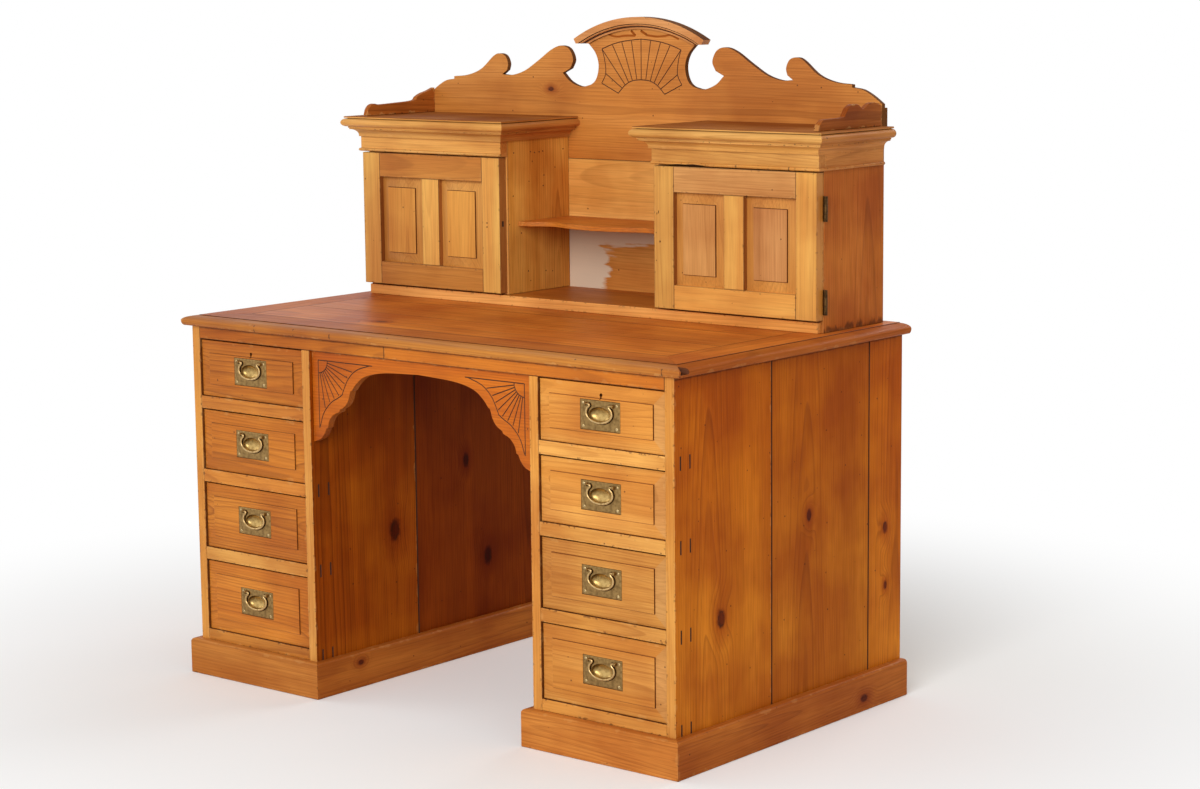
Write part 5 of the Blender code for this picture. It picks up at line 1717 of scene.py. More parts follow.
@dataclass
class Cabinet:
    """One cupboard: sides, panelled door with brass hinges, frieze, moulded cornice and scrolled gallery."""

    side: Side
    inner_x: float = 0.207
    outer_x: float = 0.6207
    door_edges: Flat = (0.212, 0.6197)
    door_y: float = 0.12725
    door_t: float = 0.022
    door_z: Flat = (0.806, 1.0995)
    stile: float = 0.051
    top_rail: float = 0.053
    bottom_rail: float = 0.050
    muntin: float = 0.050
    catch_z: Flat = (0.951, 0.963)
    catch_in: float = 0.007  # behind the door's face
    catch_w: float = 0.006
    panel_drop: float = 0.0115
    panel_margin: float = 0.023
    panel_step: float = 0.0028
    panel_groove: float = 0.0013  # line of dust and painted shade round the field
    field_drop: float = 0.002
    panel_back: float = 0.007
    panel_tongue: float = 0.006
    frieze_z: float = 1.102
    bead_h: float = 0.007
    bead_r: float = 0.004
    return_t: float = 0.0035
    cove_z: float = 1.135
    cove_reach: Flat = (0.005, 0.020)
    cove_fillet: float = 0.0029
    nosing_z: float = 1.154
    nosing_reach: float = 0.034
    nosing_head: float = 0.021
    torus: float = 0.0110
    fillet_h: float = 0.0032
    lip_h: float = 0.0046
    lip_quirk: float = 0.0010
    lip_back: float = 0.0060
    hinge_len: float = 0.050
    hinge_places: Flat = (0.842, 1.0275)
    hinge_axis: Flat = (0.6252, 0.1494)
    knuckle_r: float = 0.0042
    leaf_t: float = 0.0016
    tack_r: float = 0.0017
    tack_depth: float = 0.003
    nail_depth: float = 0.003
    catch_cut: float = 0.002
    leaf_in: float = 0.006  # how far the hinge's leaves reach in along the door's back
    bead_in: float = 0.002  # how far the bead is let into the frieze
    cove_in: float = 0.0005
    head_in: float = 0.002  # how far the nosing reaches in past its head, to the top board
    neck_in: float = 0.001  # how far the fillet and the quirk lie behind the half round
    lip_round: Solid = (0.0006, 0.0008, 0.0012)  # how far the lip swells out, falls back and rounds down
    return_lap: float = 0.001  # how far the frieze's return reaches up behind the cove
    chip_reach: Flat = (0.008, 0.010)  # how far the splintered edge reaches before and behind the frieze's face
    level_near: float = 0.0001  # faces this near to a level belong to it
    field_near: float = 0.0004  # the same, for a panel's field
    groove_past: float = 0.0015  # how far the dust and painted shade reach in past the field's edge
    groove_fall: float = 0.0004  # slope of the line's floor
    panel_lean: float = 0.001  # slope of the tongue behind the bevel

    def flip(self, shape: Shape) -> Shape:
        """Mirror a shape, drawn for the right, to this cabinet's side."""
        bmesh.ops.scale(shape, verts=shape.verts, vec=(self.side.value, 1.0, 1.0))
        return shape

    def build(self) -> None:
        """Build the cupboard from its sides to its gallery."""
        self.sides()
        self.door()
        self.cornice()
        self.gallery()

    def sides(self) -> None:
        """Build the outer side, cut for the hinge leaves, and the inner side."""
        for place in ("outer", "inner"):
            label, outer = f"{self.side.label}_cabinet_{place}_side", place == "outer"
            low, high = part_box(label)
            # The outer side's front edge takes grime and painted shade
            wood, edge = (CABINET_PINE, EDGE_GRIME_AND_SHADE_PINE) if outer else (INNER_LIT_PINE, BASE_PINE)
            # The inner side takes the paler pine and its front edge the base's pale pine: painted light
            piece = Piece(f"{label}_board", "desk", "cabinet_pine", wood, edge, DIRT_AND_SHADE)
            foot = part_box("desk_top")[1].z + FIT if outer else low.z
            outline, deep = [(low.y, foot)], low.y + self.leaf_t + FIT
            for middle in self.hinge_places if outer else ():
                a, b = middle - self.hinge_len / 2 - FIT, middle + self.hinge_len / 2 + FIT
                outline += [(low.y, a), (deep, a), (deep, b), (low.y, b)]
            outline += [(low.y, high.z), (high.y, high.z), (high.y, foot)]
            holes = None
            if label in TACK_HOLES:
                holes = join(rod(Axis.X, at, self.tack_r, high.x - self.tack_depth, high.x + OVER, sides=8)
                             for at in TACK_HOLES[label])
            piece.board(prism(outline, Axis.X, low.x, high.x), Axis.Z, Axis.X, soft=0.0007, wear=0.3,
                        dirt=0.0 if outer else 0.5, tool=holes, cut_finish=DIRT_AND_SHADE,
                        paint=lambda one, wood=wood, edge=edge: edge if one.normal.y < -FACING else wood)
            piece.build(label)

    def door(self) -> None:
        """Build the framed door, its two raised panels and its hinge knuckles."""
        label, left_door = f"{self.side.label}_door", self.side is Side.LEFT
        (x0, x1), (z0, z1), y = self.door_edges, self.door_z, self.door_y
        back, low, high = y + self.door_t, z0 + self.bottom_rail, z1 - self.top_rail
        left, right = x0 + self.stile, x1 - self.stile
        middle = (x0 + x1) / 2
        a, b = middle - self.muntin / 2, middle + self.muntin / 2
        field = LEFT_PANEL_PINE if left_door else RIGHT_PANEL_PINE
        piece = Piece(f"{label}_frame", label, "door_pine", DOOR_PINE, DOOR_RAIL_PINE, field, DIRT_AND_SHADE, EDGE_GRIME_AND_SHADE_PINE,
                      DRAWER_PINE)
        low_wood, top_wood = (DOOR_RAIL_PINE, DOOR_RAIL_PINE) if left_door else (DOOR_PINE, field)
        frame_boards = (((x0, z0), (left, z1), Axis.Z, DOOR_PINE), ((right, z0), (x1, z1), Axis.Z, DOOR_PINE),
                        ((left + FIT, z0), (right - FIT, low), Axis.X, low_wood),
                        ((left + FIT, high), (right - FIT, z1), Axis.X, top_wood),
                        ((a, low + FIT), (b, high - FIT), Axis.Z, DOOR_PINE))
        for number, ((u0, v0), (u1, v1), grain, wood) in enumerate(frame_boards):
            shape = self.flip(box((u0, y, v0), (u1, back, v1)))
            piece.board(shape, grain, Axis.Y, soft=0.0008, dirt=0.45, wear=0.4,
                        tool=None if number else self.nail_holes(), cut_finish=DIRT_AND_SHADE,
                        paint=lambda one, wood=wood: self.frame_paint(one, wood))
        piece.build(label)
        outer = field if left_door else OUTER_PANEL_PINE
        panels = Piece(f"{label}_panels", label, "door_pine", field, DUST_AND_SHADE_PINE, PANEL_BEVEL_SHADE_PINE, outer)
        for u0, u1, wood in ((left, a, field), (b, right, outer)):

            def paint(one: Face, u0: float = u0, u1: float = u1, wood: Finish = wood) -> Finish:
                """Choose the finish of one face of a panel.

                Args:
                    one: Face of the panel.
                    u0: Side of its opening that is nearer to the middle of the desk.
                    u1: The other side.
                    wood: Finish of its field.

                Returns:
                    Dust and painted shade in the line round the field, painted shade on the bevels, or the field's.
                """
                u, depth, v = one.calc_center_median()
                inset = min(abs(u) - u0, u1 - abs(u), v - low, high - v)
                proud = depth < y + self.field_drop + self.field_near
                line = self.panel_margin - self.panel_groove
                if not proud and line < inset < self.panel_margin + self.groove_past:
                    return DUST_AND_SHADE_PINE
                return PANEL_BEVEL_SHADE_PINE if inset < self.panel_margin and one.normal.y < 0.0 else wood

            panels.board(self.flip(self.panel(u0, u1, low, high)), Axis.Z, Axis.Y, soft=0.0005, dirt=0.3, wear=0.0,
                         paint=paint)
        panels.build()
        self.knuckles(label)

    def frame_paint(self, one: Face, wood: Finish) -> Finish:
        """Choose the finish of one face of the door's frame.

        Args:
            one: Face of a board.
            wood: The board's own wood.

        Returns:
            Grime and painted shade on the frame's sideways edges, plain drawer pine on its hinge edge, or the board's
            own.
        """
        if abs(one.normal.x) < FACING:
            return wood
        return DRAWER_PINE if abs(one.calc_center_median().x) > self.door_edges[1] - FIT else EDGE_GRIME_AND_SHADE_PINE

    def nail_holes(self) -> Shape:
        """Return the tool for the catch, the nail holes and the scratches in the stile beside the pigeonhole.

        Returns:
            Closed shapes to carve with, in their final place.
        """
        cuts = []
        for x, z, wide, tall in NAIL_HOLES[self.side]:
            outline = ellipse((x, z), (wide / 2, tall / 2), 0.0, 315.0, steps=7)
            cuts.append(prism(outline, Axis.Y, self.door_y - OVER, self.door_y + self.nail_depth))
        free, y, (low, high) = self.side.value * self.door_edges[0], self.door_y + self.catch_in, self.catch_z
        cuts.append(box((free - self.catch_cut, y, low), (free + self.catch_cut, y + self.catch_w, high)))
        return join(cuts)

    def panel(self, u0: float, u1: float, v0: float, v1: float) -> Shape:
        """Return one raised panel, tongued into the frame round the opening it fills.

        Args:
            u0: Left side of the opening.
            u1: Right side.
            v0: Its foot.
            v1: Its head.

        Returns:
            The closed shape.
        """
        out, inner, floor = -self.panel_tongue, self.panel_margin, self.field_drop + self.panel_step
        steps = ((out, self.door_t - self.panel_back), (out, self.panel_drop + self.panel_lean),
                 (0.0, self.panel_drop), (inner - self.panel_groove, floor), (inner, floor + self.groove_fall),
                 (inner, self.field_drop))
        return fielded((u0, v0), (u1, v1), [(inset, self.door_y + depth) for inset, depth in steps])

    def knuckles(self, label: str) -> None:
        """Build the brass knuckles that turn with the door, and dress the fixed leaves.

        Args:
            label: The door's name.
        """
        piece = Piece(f"{label}_hinge_knuckles", label, "aged_brass", HINGE_BRASS)
        axis_x, axis_y = self.hinge_axis
        half_knuckle = self.hinge_len / 6 - FIT
        back = self.door_y + self.door_t
        for middle in self.hinge_places:
            low, high = middle - half_knuckle, middle + half_knuckle
            barrel = rod(Axis.Z, (axis_x, axis_y), self.knuckle_r, low, high)
            piece.board(self.flip(barrel), Axis.Z, Axis.X, soft=0.0003)
            leaf = box((self.door_edges[1] - self.leaf_in, back - self.leaf_t, low), (axis_x, back - FIT, high))
            piece.board(self.flip(leaf), Axis.Z, Axis.Y, soft=0.0002)
        piece.build()
        for place in ("lower", "upper"):
            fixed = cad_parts[f"{self.side.label}_hinge_{place}"]
            fixed.data.materials.clear()
            fixed.data.materials.append(HINGE_BRASS.material())

    def cornice(self) -> None:
        """Build the top board, its nosing and cove, and the frieze with its bead."""
        label = f"{self.side.label}_cabinet_top"
        _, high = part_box(label)
        x0, x1, y0, y1, top = self.inner_x, self.outer_x, self.door_y, high.y, high.z
        piece = Piece(f"{label}_cornice", "desk", "cornice_pine", CORNICE_PINE, RETURN_PINE, CABINET_TOP_PINE,
                      DUST_AND_SHADE_PINE)
        for profile in (self.nosing_profile(top), self.cove_profile()):
            for shape, grain in three_strips(profile, x0, x1, y0, y1):
                face, wood = (Axis.Y, CORNICE_PINE) if grain is Axis.X else (Axis.X, RETURN_PINE)
                piece.board(self.flip(shape), grain, face, soft=0.0, wear=0.6,
                            paint=lambda one, wood=wood: self.cornice_paint(one, wood, top))
        end, rear = x1 + self.return_t, y0 + self.door_t
        frieze = box((x0, y0, self.frieze_z), (end, rear, self.nosing_z - FIT))
        piece.board(self.flip(frieze), Axis.X, Axis.Y, soft=0.0005, wear=0.4, tool=self.chips(),
                    cut_finish=DUST_AND_SHADE_PINE,
                    paint=lambda one: RETURN_PINE if abs(one.normal.x) > FACING else CORNICE_PINE)
        side_return = box((x1 + FIT, rear, self.frieze_z), (end, y1, self.cove_z + self.return_lap))
        piece.board(self.flip(side_return), Axis.Y, Axis.X, soft=0.0005, finish=RETURN_PINE, wear=0.4)
        middle, half = self.frieze_z + self.bead_h / 2, self.bead_h / 2
        bead = [(-self.bead_in, self.frieze_z), *ellipse((0.0, middle), (self.bead_r, half), -90.0, 90.0, steps=8),
                (-self.bead_in, self.frieze_z + self.bead_h)]
        corner = ((end, y0), (1.0, -1.0))
        front_bead = strip(bead, (((x0, y0), (0.0, -1.0)), corner))
        piece.board(self.flip(front_bead), Axis.X, Axis.Z, soft=0.0, wear=0.6, tool=self.chips(),
                    cut_finish=DUST_AND_SHADE_PINE)
        end_bead = strip(bead, (corner, ((end, y1), (1.0, 0.0))))
        piece.board(self.flip(end_bead), Axis.Y, Axis.Z, soft=0.0, finish=RETURN_PINE, wear=0.6)
        piece.build(label)
        head = Piece(f"{label}_board", "desk", "cornice_pine", CABINET_TOP_PINE)
        out = self.nosing_reach - self.nosing_head - self.head_in
        shape = box((x0 - out, y0 - out, self.nosing_z), (x1 + out, y1, top - FIT))
        head.board(self.flip(shape), Axis.X, Axis.Z, dirt=0.6, wear=0.0)
        head.build()

    def chips(self) -> Shape | None:
        """Return the tool for the splintered lower edge of the frieze.

        Returns:
            A closed shape to carve with, or None where the edge is whole.
        """
        outline = FRIEZE_CHIPS.get(self.side)
        if outline is None:
            return None
        return prism(outline, Axis.Y, self.door_y - self.chip_reach[0], self.door_y + self.chip_reach[1])

    def cornice_paint(self, one: Face, wood: Finish, top: float) -> Finish:
        """Choose the finish of one face of the cornice.

        Args:
            one: Face of a strip.
            wood: The strip's own wood.
            top: Height of the cornice's upper face.

        Returns:
            The dull top's finish, dust and painted shade inside the quirk, or the strip's own.
        """
        height, ledge = one.calc_center_median().z, top - self.lip_h
        if height > top - self.lip_round[2]:
            return CABINET_TOP_PINE
        inside = ledge - self.level_near < height < ledge + self.lip_quirk + self.level_near
        return DUST_AND_SHADE_PINE if inside else wood

    def nosing_profile(self, top: float) -> list[Flat]:
        """Return the nosing's closed profile of (reach, z): a fillet, a half round, a quirk and a thin lip.

        Args:
            top: Height of the cornice's upper face.

        Returns:
            The profile, from its foot out and back over the top.
        """
        inner, reach = self.nosing_reach - self.nosing_head - self.head_in + FIT, self.nosing_reach
        low, high = self.nosing_z + self.fillet_h, top - self.lip_h
        tall = (high - low) / 2
        round_part = ellipse((reach - self.torus, low + tall), (self.torus, tall), -90.0, 90.0, steps=12)
        neck, lip, ledge = reach - self.torus - self.neck_in, reach - self.lip_back, high + self.lip_quirk
        swell, fall, drop = self.lip_round
        return [(inner, self.nosing_z), (neck, self.nosing_z), (neck, low), *round_part, (neck, high), (neck, ledge),
                (lip, ledge), (lip + swell, top - drop), (lip - fall, top), (inner, top)]

    def cove_profile(self) -> list[Flat]:
        """Return the cove's closed profile of (reach, z).

        Returns:
            The profile, from its foot out and back over its head.
        """
        foot, head = self.cove_reach
        low, high = self.cove_z + self.cove_fillet, self.nosing_z - self.cove_fillet
        hollow = ellipse((head, low), (foot - head, high - low), 0.0, 90.0, steps=8)
        return [(self.cove_in, self.cove_z), (foot, self.cove_z), *hollow, (head, self.nosing_z),
                (self.cove_in, self.nosing_z)]

    def gallery(self) -> None:
        """Build the scrolled board along the cabinet's outer edge."""
        label = f"{self.side.label}_gallery"
        low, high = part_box(label)
        points = GALLERY_OUTLINES[self.side]
        stretch = (high.y - low.y) / points[-1][0]
        outline = [(low.y + y * stretch, low.z + z) for y, z in smooth_run(points, steps=6)] + [(high.y, low.z)]
        piece = Piece(f"{label}_board", "desk", "gallery_pine", GALLERY_PINE)
        piece.board(prism(outline, Axis.X, low.x, high.x), Axis.Y, Axis.X, soft=0.0010)
        piece.build(label)


# Splintered lower edge of the frieze, as an outline of (x, z)
FRIEZE_CHIPS: dict[Side, tuple[Flat, ...]] = {
    Side.RIGHT: ((0.2165, 1.1000), (0.2165, 1.1034), (0.2330, 1.1040), (0.2470, 1.1030), (0.2790, 1.1052),
                 (0.2990, 1.1046), (0.3150, 1.1060), (0.3420, 1.1043), (0.3520, 1.1000)),
}

# Nail holes and scratches in the door stiles beside the pigeonhole: x, z, width and height
NAIL_HOLES: dict[Side, tuple[tuple[float, float, float, float], ...]] = {
    Side.LEFT: ((-0.2490, 0.9580, 0.0034, 0.0034), (-0.2492, 0.9494, 0.0034, 0.0034)),
    Side.RIGHT: ((0.2240, 1.0045, 0.0018, 0.0075), (0.2200, 1.0015, 0.0016, 0.0050), (0.2276, 0.9438, 0.0028, 0.0052)),
}

# Tack holes in the cabinet side that the pigeonhole shows: y and z
TACK_HOLES: dict[str, tuple[Flat, ...]] = {
    "left_cabinet_inner_side": (
        (0.1705, 1.1085), (0.2253, 1.1080), (0.2392, 1.1057), (0.2549, 1.1063), (0.2670, 1.1074), (0.3355, 1.1084),
        (0.2700, 1.0547), (0.2668, 1.0319), (0.1923, 0.9334), (0.2725, 0.8441), (0.2137, 0.8483)),
}

# Scrolled outlines of the galleries: distance from the front, and height
GALLERY_OUTLINES: dict[Side, tuple[Flat, ...]] = {
    Side.LEFT: ((0.0, 0.0), (0.005, 0.014), (0.014, 0.023), (0.026, 0.026), (0.042, 0.0235), (0.095, 0.025),
                (0.153, 0.028), (0.166, 0.036), (0.182, 0.043), (0.203, 0.048), (0.2237, 0.055)),
    Side.RIGHT: ((0.0, 0.0), (0.005, 0.012), (0.014, 0.019), (0.026, 0.022), (0.084, 0.023), (0.094, 0.029),
                 (0.104, 0.041), (0.120, 0.0475), (0.140, 0.046), (0.155, 0.037), (0.166, 0.040),
                 (0.182, 0.0475), (0.203, 0.0475), (0.2237, 0.040)),
}


@dataclass
class Crest:
    """Boarded back with a scrolled crest, an arched moulding and a carved fan."""

    cabinet_top: float = 1.180
    nosing_z: float = 1.154
    joint_z: float = 1.087
    low_joint_z: float = 0.935
    face_y: float = 0.35495
    thick: float = 0.012
    drawn_half: float = 0.6107
    half_x: float = 0.6197
    low_half: float = 0.6024
    neck_x: float = 0.148
    neck: tuple[Flat, ...] = ((0.148, 0.160), (0.127, 0.137), (0.1195, 0.108), (0.131, 0.077), (0.163, 0.065),
                              (0.196, 0.075), (0.218, 0.094))
    inner_scroll: tuple[Flat, ...] = ((0.197, 0.104), (0.1885, 0.124), (0.200, 0.147), (0.223, 0.154), (0.251, 0.145),
                                      (0.287, 0.122), (0.328, 0.098), (0.365, 0.0875), (0.393, 0.0885))
    outer_scroll: tuple[Flat, ...] = ((0.3795, 0.098), (0.3765, 0.113), (0.385, 0.130), (0.402, 0.135), (0.420, 0.129),
                                      (0.457, 0.100), (0.497, 0.086), (0.539, 0.082))
    shoulder: tuple[Flat, ...] = ((0.539, 0.076), (0.564, 0.072), (0.588, 0.060), (0.6107, 0.044))
    arch_half: float = 0.1785
    arch_crown: float = 0.217
    arch_tip: float = 0.169
    arch_foot: float = 0.159
    arch_band: float = 0.026
    arch_reach: float = 0.013
    arch_quirks: tuple[Flat, ...] = ((0.0143, 0.0160), (0.0192, 0.0222))  # dark bands below the crown: wax and painted shade in the quirks
    board_drop: float = 0.0065
    board_soft: float = 0.0012
    crest_knots: tuple[Solid, ...] = ((-0.256, 1.238, 0.0050), (0.330, 1.120, 0.0065))
    batten_t: float = 0.010
    batten_z: Flat = (1.158, 1.216)
    fan_top: tuple[Flat, ...] = ((0.0, 1.3494), (0.0266, 1.3472), (0.0535, 1.3436), (0.0797, 1.3375), (0.1089, 1.3275))
    fan_side: tuple[Flat, ...] = ((0.1089, 1.3275), (0.1015, 1.304), (0.0990, 1.2747), (0.1104, 1.2533))
    fan_foot: Flat = (0.064, 1.2325)
    fan_hub: tuple[Flat, ...] = ((0.0, 1.2626), (0.0248, 1.2598), (0.0445, 1.2505), (0.064, 1.2325))
    fan_rays: tuple[tuple[Flat, Flat], ...] = (
        ((0.0123, 1.2620), (0.0266, 1.3472)), ((0.0245, 1.2598), (0.0535, 1.3436)),
        ((0.0350, 1.2562), (0.0797, 1.3375)), ((0.0445, 1.2505), (0.1089, 1.3275)),
        ((0.0530, 1.2435), (0.0990, 1.2747)))
    ray_span: Flat = (0.015, 0.985)  # share of a ray where its line starts and ends
    ray_gap: float = 0.001  # from the middle line to the hub and to the rim
    ribbon: tuple[tuple[Flat, ...], ...] = (
        ((-0.0928, 1.3604), (-0.0789, 1.3559), (-0.0632, 1.3544), (-0.0440, 1.3564), (-0.0160, 1.3566)),
        ((0.0153, 1.3580), (0.0419, 1.3551), (0.0640, 1.3563), (0.0810, 1.3583), (0.1030, 1.3500)))
    ribbon_folds: tuple[tuple[Flat, Flat], ...] = (
        ((-0.0273, 1.3675), (-0.0146, 1.3566)), ((-0.0007, 1.3676), (0.0153, 1.3589)))
    ribbon_z: float = 1.3495
    ribbon_w: float = 0.0046
    fold_w: float = 0.0056
    ribbon_deep: Flat = (0.5, 0.6)  # depth of the ribbon's lines and of its folds, over their width
    cut_lean: float = 0.97  # least part of a normal along -Y on the flat face
    arch_near: float = 0.0006  # faces this near to the crown are its top
    quirk_near: float = 0.0001
    arch_steps: int = 60
    saw_over: float = 0.01  # how far the saw that levels the arch's ends reaches past it
    batten_in: Flat = (0.001, 0.0005)  # short of the ends, and into the back
    line_w: float = 0.0022
    line_depth: float = 0.0016

    def arch_circle(self) -> Flat:
        """Fit a circle to the arched moulding.

        Returns:
            Its radius and the height of its centre.
        """
        rise = self.arch_crown - self.arch_tip
        radius = (self.arch_half**2 + rise**2) / (2 * rise)
        return radius, self.cabinet_top + self.arch_crown - radius

    def build(self) -> None:
        """Build the boards, the crest, the moulding and the batten."""
        low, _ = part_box("backboard")
        face, back = self.face_y, self.face_y + self.thick
        lower = Piece("backboard_lower_boards", "desk", "backboard_pine", BACK_PINE, SCRAPED_PINE, RAW_PINE)
        for z0, z1, wood in ((low.z, self.low_joint_z, SCRAPED_PINE),
                             (self.low_joint_z + FIT, self.joint_z - FIT, BACK_PINE)):
            shape = box((-self.low_half, face, z0), (self.low_half, back, z1))
            lower.board(shape, Axis.X, Axis.Y, soft=0.0006, dirt=0.6, wear=0.0,
                        paint=lambda one, wood=wood: RAW_PINE if one.normal.y > LEANING else wood)
        lower.build()
        crest = Piece("backboard_crest", "desk", "backboard_pine", CREST_PINE, CARVING_WAX_AND_SHADE, CREST_EDGE_PINE, RAW_PINE,
                      GALLERY_PINE, ARCH_PINE)
        tool = join(v_cut(path, face, self.line_w, self.line_depth) for path in self.fan_lines())
        line_deep, fold_deep = self.ribbon_deep
        cuts = [v_cut(smooth_run(path, steps=5), face, self.ribbon_w, self.ribbon_w * line_deep)
                for path in self.ribbon]
        cuts += [v_cut(path, face, self.fold_w, self.fold_w * fold_deep) for path in self.ribbon_folds]
        board = prism(self.outline(), Axis.Y, face, back)
        soften(board, self.board_soft)
        crest.board(carve(board, join(cuts)), Axis.X, Axis.Y, soft=0.0, wear=0.0, tool=tool, cut_finish=CARVING_WAX_AND_SHADE,
                    knots=self.crest_knots, paint=self.board_paint)
        crest.board(self.arch(), Axis.X, Axis.Y, soft=0.0, wear=0.4, paint=self.arch_paint)
        end, (z0, z1) = self.half_x - self.batten_in[0], self.batten_z
        batten = box((-end, back - self.batten_in[1], z0), (end, back + self.batten_t, z1))
        crest.board(batten, Axis.X, Axis.Y, wear=0.0,
                    paint=lambda one: CREST_EDGE_PINE if abs(one.normal.x) > LEANING else RAW_PINE)
        crest.build("backboard")

    def outline(self) -> list[Flat]:
        """Return the crest board's outline of (x, z).

        Returns:
            The points, from the joint over the lower boards up round the scrolls.
        """
        radius, centre = self.arch_circle()
        under = radius - self.board_drop
        limit = math.degrees(math.asin(self.neck_x / under))
        half = ellipse((0.0, centre), (under, under), 90.0, 90.0 - limit, steps=12)
        stretch = self.half_x / self.drawn_half
        for run in (self.neck, self.inner_scroll, self.outer_scroll, self.shoulder):
            points = smooth_run(run, steps=7)
            half += [(x * stretch if x > self.neck_x else x, self.cabinet_top + z) for x, z in points]
        half[-1] = (self.half_x, half[-1][1])
        half += [(self.half_x, self.nosing_z), (self.low_half, self.nosing_z), (self.low_half, self.joint_z)]
        return mirrored(half)

    def board_paint(self, one: Face) -> Finish:
        """Choose the finish of one face of the crest board.

        Args:
            one: Face of the board.

        Returns:
            Bare wood behind, the dark sawn edges' finish with painted shade on the edges, the gallery's darker pine in
            the ribbon's cuts as painted shade, or the plain one.
        """
        x, _, z = one.calc_center_median()
        if one.normal.y > LEANING:
            return RAW_PINE
        if one.normal.y > -LEANING:
            return CREST_EDGE_PINE
        in_ribbon = one.normal.y > -self.cut_lean and abs(x) < self.neck_x and z > self.ribbon_z
        return GALLERY_PINE if in_ribbon else CREST_PINE

    def arch_paint(self, one: Face) -> Finish:
        """Choose the finish of one face of the arched moulding.

        Args:
            one: Face of the moulding.

        Returns:
            The dark sawn edges' finish with painted shade on top and at the ends, wax with painted shade inside the
            quirks, or the paler pine of its painted sheen.
        """
        radius, centre = self.arch_circle()
        x, _, z = one.calc_center_median()
        depth = radius - math.hypot(x, z - centre)
        if depth < self.arch_near or one.normal.z < -LEVEL:
            return CREST_EDGE_PINE
        near = self.quirk_near
        return CARVING_WAX_AND_SHADE if any(a - near < depth < b + near for a, b in self.arch_quirks) else ARCH_PINE

    def arch(self) -> Shape:
        """Return the arched moulding, a flat fascia over two quirked beads, with its ends sawn level.

        Returns:
            The closed shape.
        """
        radius, centre = self.arch_circle()
        face, back = self.face_y - self.arch_reach, self.face_y + self.thick + FIT
        deep, over = self.thick + self.arch_reach + FIT, self.saw_over
        (a, b), (c, d) = self.arch_quirks
        # Each point of the section lies so far below the crown and so far behind the fascia.
        section = ((0.0, deep), (0.0, 0.0), (a, 0.0), (a, 0.0046), (b, 0.0046), (b, 0.0014), (b + 0.0012, 0.0008),
                   (c - 0.0006, 0.0022), (c, 0.0032), (c, 0.0080), (d, 0.0088), (d, 0.0066), (self.arch_band, 0.0078),
                   (self.arch_band, deep))
        limit = math.asin(self.arch_half / radius)
        rings = []
        for i in range(self.arch_steps + 1):
            turn = limit * (2 * i / self.arch_steps - 1)
            rings.append([((radius - below) * math.sin(turn), face + behind, centre + (radius - below) * math.cos(turn))
                          for below, behind in section])
        saw = box((-radius, face - over, centre), (radius, back + over, self.cabinet_top + self.arch_foot))
        return carve(loft(rings), saw)

    def fan_lines(self) -> list[list[Flat]]:
        """Return the carved lines of the fan.

        Returns:
            A path of (x, z) for each line.
        """
        halves = [smooth_run(self.fan_side, steps=6), [self.fan_side[-1], self.fan_foot]]
        for (x0, z0), (x1, z1) in self.fan_rays:
            start, way = Vector((x0, z0)), Vector((x1 - x0, z1 - z0))
            halves.append([tuple(start + way * share) for share in self.ray_span])
        middle = [(0.0, self.fan_hub[0][1] + self.ray_gap), (0.0, self.fan_top[0][1] - self.ray_gap)]
        whole = [mirrored(smooth_run(self.fan_top, steps=4)), mirrored(smooth_run(self.fan_hub, steps=5)), middle]
        return whole + halves + [[(-x, z) for x, z in path] for path in halves]


@dataclass
class Pigeonhole:
    """Base board under the cupboards and the serpentine shelf between them."""

    shelf_half: float = 0.207
    shelf_front: tuple[Flat, ...] = ((0.0, 0.177), (0.070, 0.165), (0.130, 0.148), (0.185, 0.172), (0.207, 0.173))
    soft: float = 0.0012

    def build(self) -> None:
        """Build both boards."""
        low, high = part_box("base_board")
        base = Piece("base_board_plank", "desk", "base_pine", BASE_PINE, SHELF_PINE)
        left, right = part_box("left_cabinet_outer_side"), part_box("right_cabinet_outer_side")
        x0, x1, y = left[1].x + FIT, right[0].x - FIT, left[0].y - FIT
        outline = [(low.x, low.y), (high.x, low.y), (high.x, y), (x1, y), (x1, high.y), (x0, high.y), (x0, y),
                   (low.x, y)]
        # The base's top takes the shelf's darker pine and its other faces the paler, painted-light pine
        base.board(prism(outline, Axis.Z, low.z, high.z), Axis.X, Axis.Z, soft=self.soft, wear=0.4,
                   paint=lambda one: SHELF_PINE if one.normal.z > LEVEL else BASE_PINE)
        base.build("base_board")
        low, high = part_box("shelf")
        stretch = high.x / self.shelf_half
        half = [(x * stretch, high.y - depth) for x, depth in smooth_run(self.shelf_front, steps=10)]
        outline = [(low.x, high.y), *mirrored(half), (high.x, high.y)]
        shelf = Piece("shelf_board", "desk", "shelf_pine", SHELF_PINE)
        shelf.board(prism(outline, Axis.Z, low.z, high.z), Axis.X, Axis.Z, soft=self.soft)
        shelf.build("shelf")


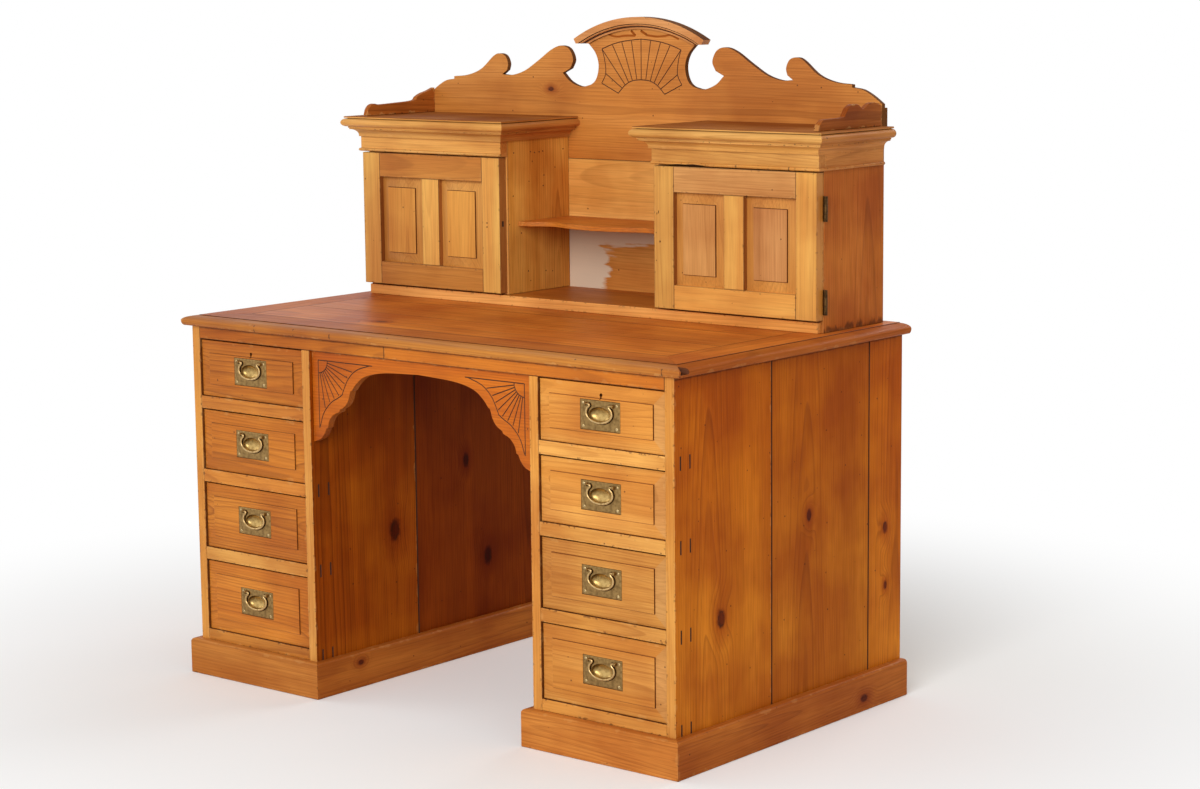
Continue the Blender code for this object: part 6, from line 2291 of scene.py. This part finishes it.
@dataclass
class Studio:
    """Pale floor, soft lamps and the camera at the photograph's viewing angle."""

    camera_at: Solid = (3.6487, -4.21995, 1.4864)
    yaw: float = 39.513
    pitch: float = 8.837
    roll: float = -0.584
    lens: float = 80.924
    sensor: float = 36.0
    floor: str = "#fafaf9"
    floor_half: float = 6.0
    floor_z: Flat = (-0.02, -0.0005)
    floor_roughness: float = 0.9
    ambient: float = 0.46
    target: Solid = (0.0, 0.0, 0.7)
    fade: Flat = (0.85, 2.1)  # from where the floor turns into the white room

    def build(self) -> None:
        """Build the floor, the light and the camera."""
        self.backdrop()
        self.lamp("key", place=(2.1, -4.8, 3.0), size=3.2, power=230.0)
        self.lamp("left_fill", place=(-4.4, -1.6, 2.6), size=2.4, power=30.0)
        self.lamp("back_fill", place=(0.5, 4.8, 3.2), size=3.0, power=80.0)
        self.world()
        self.camera()

    @staticmethod
    def in_sight(tree: Tree) -> Feed:
        """Tell the rays that show the room from those that light it.

        Args:
            tree: Tree of a material or of the world.

        Returns:
            1 for rays from the camera and in reflections, and 0 for others.
        """
        path = node(tree, "LightPath").outputs
        seen = path["Is Camera Ray"]
        for ray in ("Is Glossy Ray", "Is Transmission Ray"):
            seen = node(tree, "Math", (seen, path[ray]), operation="MAXIMUM")
        return seen

    def backdrop(self) -> None:
        """Lay the floor, which keeps the desk's shadow and fades into the white room."""
        half, (low, high) = self.floor_half, self.floor_z
        mesh = mesh_of("studio_floor", box((-half, -half, low), (half, half, high)))
        obj = stand("studio_floor", mesh)
        made = bpy.data.materials.new("floor_paint_pale")
        made.use_nodes = True
        tree = made.node_tree
        shader = tree.nodes["Principled BSDF"]
        feed(tree, shader, {"Base Color": linear(self.floor), "Roughness": self.floor_roughness,
                            "Specular IOR Level": 0.0})
        place = node(tree, "TexCoord").outputs["Object"]
        away = node(tree, "VectorMath", [place], operation="LENGTH").outputs["Value"]
        far = node(tree, "MapRange", (away, *self.fade), interpolation_type="SMOOTHSTEP")
        share = node(tree, "Math", (far, self.in_sight(tree)), operation="MULTIPLY")
        white = node(tree, "Emission", {"Color": (1.0, 1.0, 1.0, 1.0), "Strength": 1.0})
        mix = node(tree, "MixShader", (share, shader, white))
        feed(tree, tree.nodes["Material Output"], {"Surface": mix})
        mesh.materials.append(made)

    def lamp(self, name: str, place: Solid, size: float, power: float) -> None:
        """Hang a square soft lamp that looks at the desk.

        Args:
            name: Lamp's name.
            place: Where it hangs.
            size: Its side.
            power: Its power in watts.
        """
        light = bpy.data.lights.new(name, "AREA")
        light.size = size
        light.energy = power
        obj = stand(name, light)
        obj.location = place
        obj.rotation_euler = (Vector(self.target) - Vector(place)).to_track_quat("-Z", "Y").to_euler()

    def world(self) -> None:
        """Light the room evenly, and show it white to the camera and in reflections."""
        scene = bpy.context.scene
        scene.view_settings.view_transform = "Standard"
        scene.world = scene.world or bpy.data.worlds.new("studio")
        scene.world.use_nodes = True
        tree = scene.world.node_tree
        tree.nodes.clear()
        dim, white = (node(tree, "Background", {"Color": (1.0, 1.0, 1.0, 1.0), "Strength": strength})
                      for strength in (self.ambient, 1.0))
        mix = node(tree, "MixShader", (self.in_sight(tree), dim, white))
        node(tree, "OutputWorld", {"Surface": mix})

    def camera(self) -> None:
        """Set the camera where the photograph was taken from."""
        yaw, pitch, roll = (math.radians(a) for a in (self.yaw, self.pitch, self.roll))
        ahead = Vector((-math.sin(yaw) * math.cos(pitch), math.cos(yaw) * math.cos(pitch), -math.sin(pitch)))
        level = Vector((math.cos(yaw), math.sin(yaw), 0.0))
        upright = level.cross(ahead)
        right = level * math.cos(roll) + upright * math.sin(roll)
        up = upright * math.cos(roll) - level * math.sin(roll)
        data = bpy.data.cameras.new("photo_camera")
        data.sensor_fit = "HORIZONTAL"
        data.sensor_width = self.sensor
        data.lens = self.lens
        obj = stand("photo_camera", data)
        turn = Matrix((right, up, -ahead)).transposed().to_4x4()
        obj.matrix_world = Matrix.Translation(self.camera_at) @ turn
        bpy.context.scene.camera = obj


def main() -> None:
    """Dress the desk from the floor up, then light it."""
    logging.basicConfig(level=logging.INFO, format="%(name)s: %(message)s")
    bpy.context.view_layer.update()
    for side in Side:
        Pedestal(side).build()
        for number in DRAWERS:
            Drawer(side, number).build()
    FlushHandle().build()
    Kneehole().build()
    DeskTop().build()
    Pigeonhole().build()
    Crest().build()
    for side in Side:
        Cabinet(side).build()
    Studio().build()


if __name__ == "__main__":
    main()
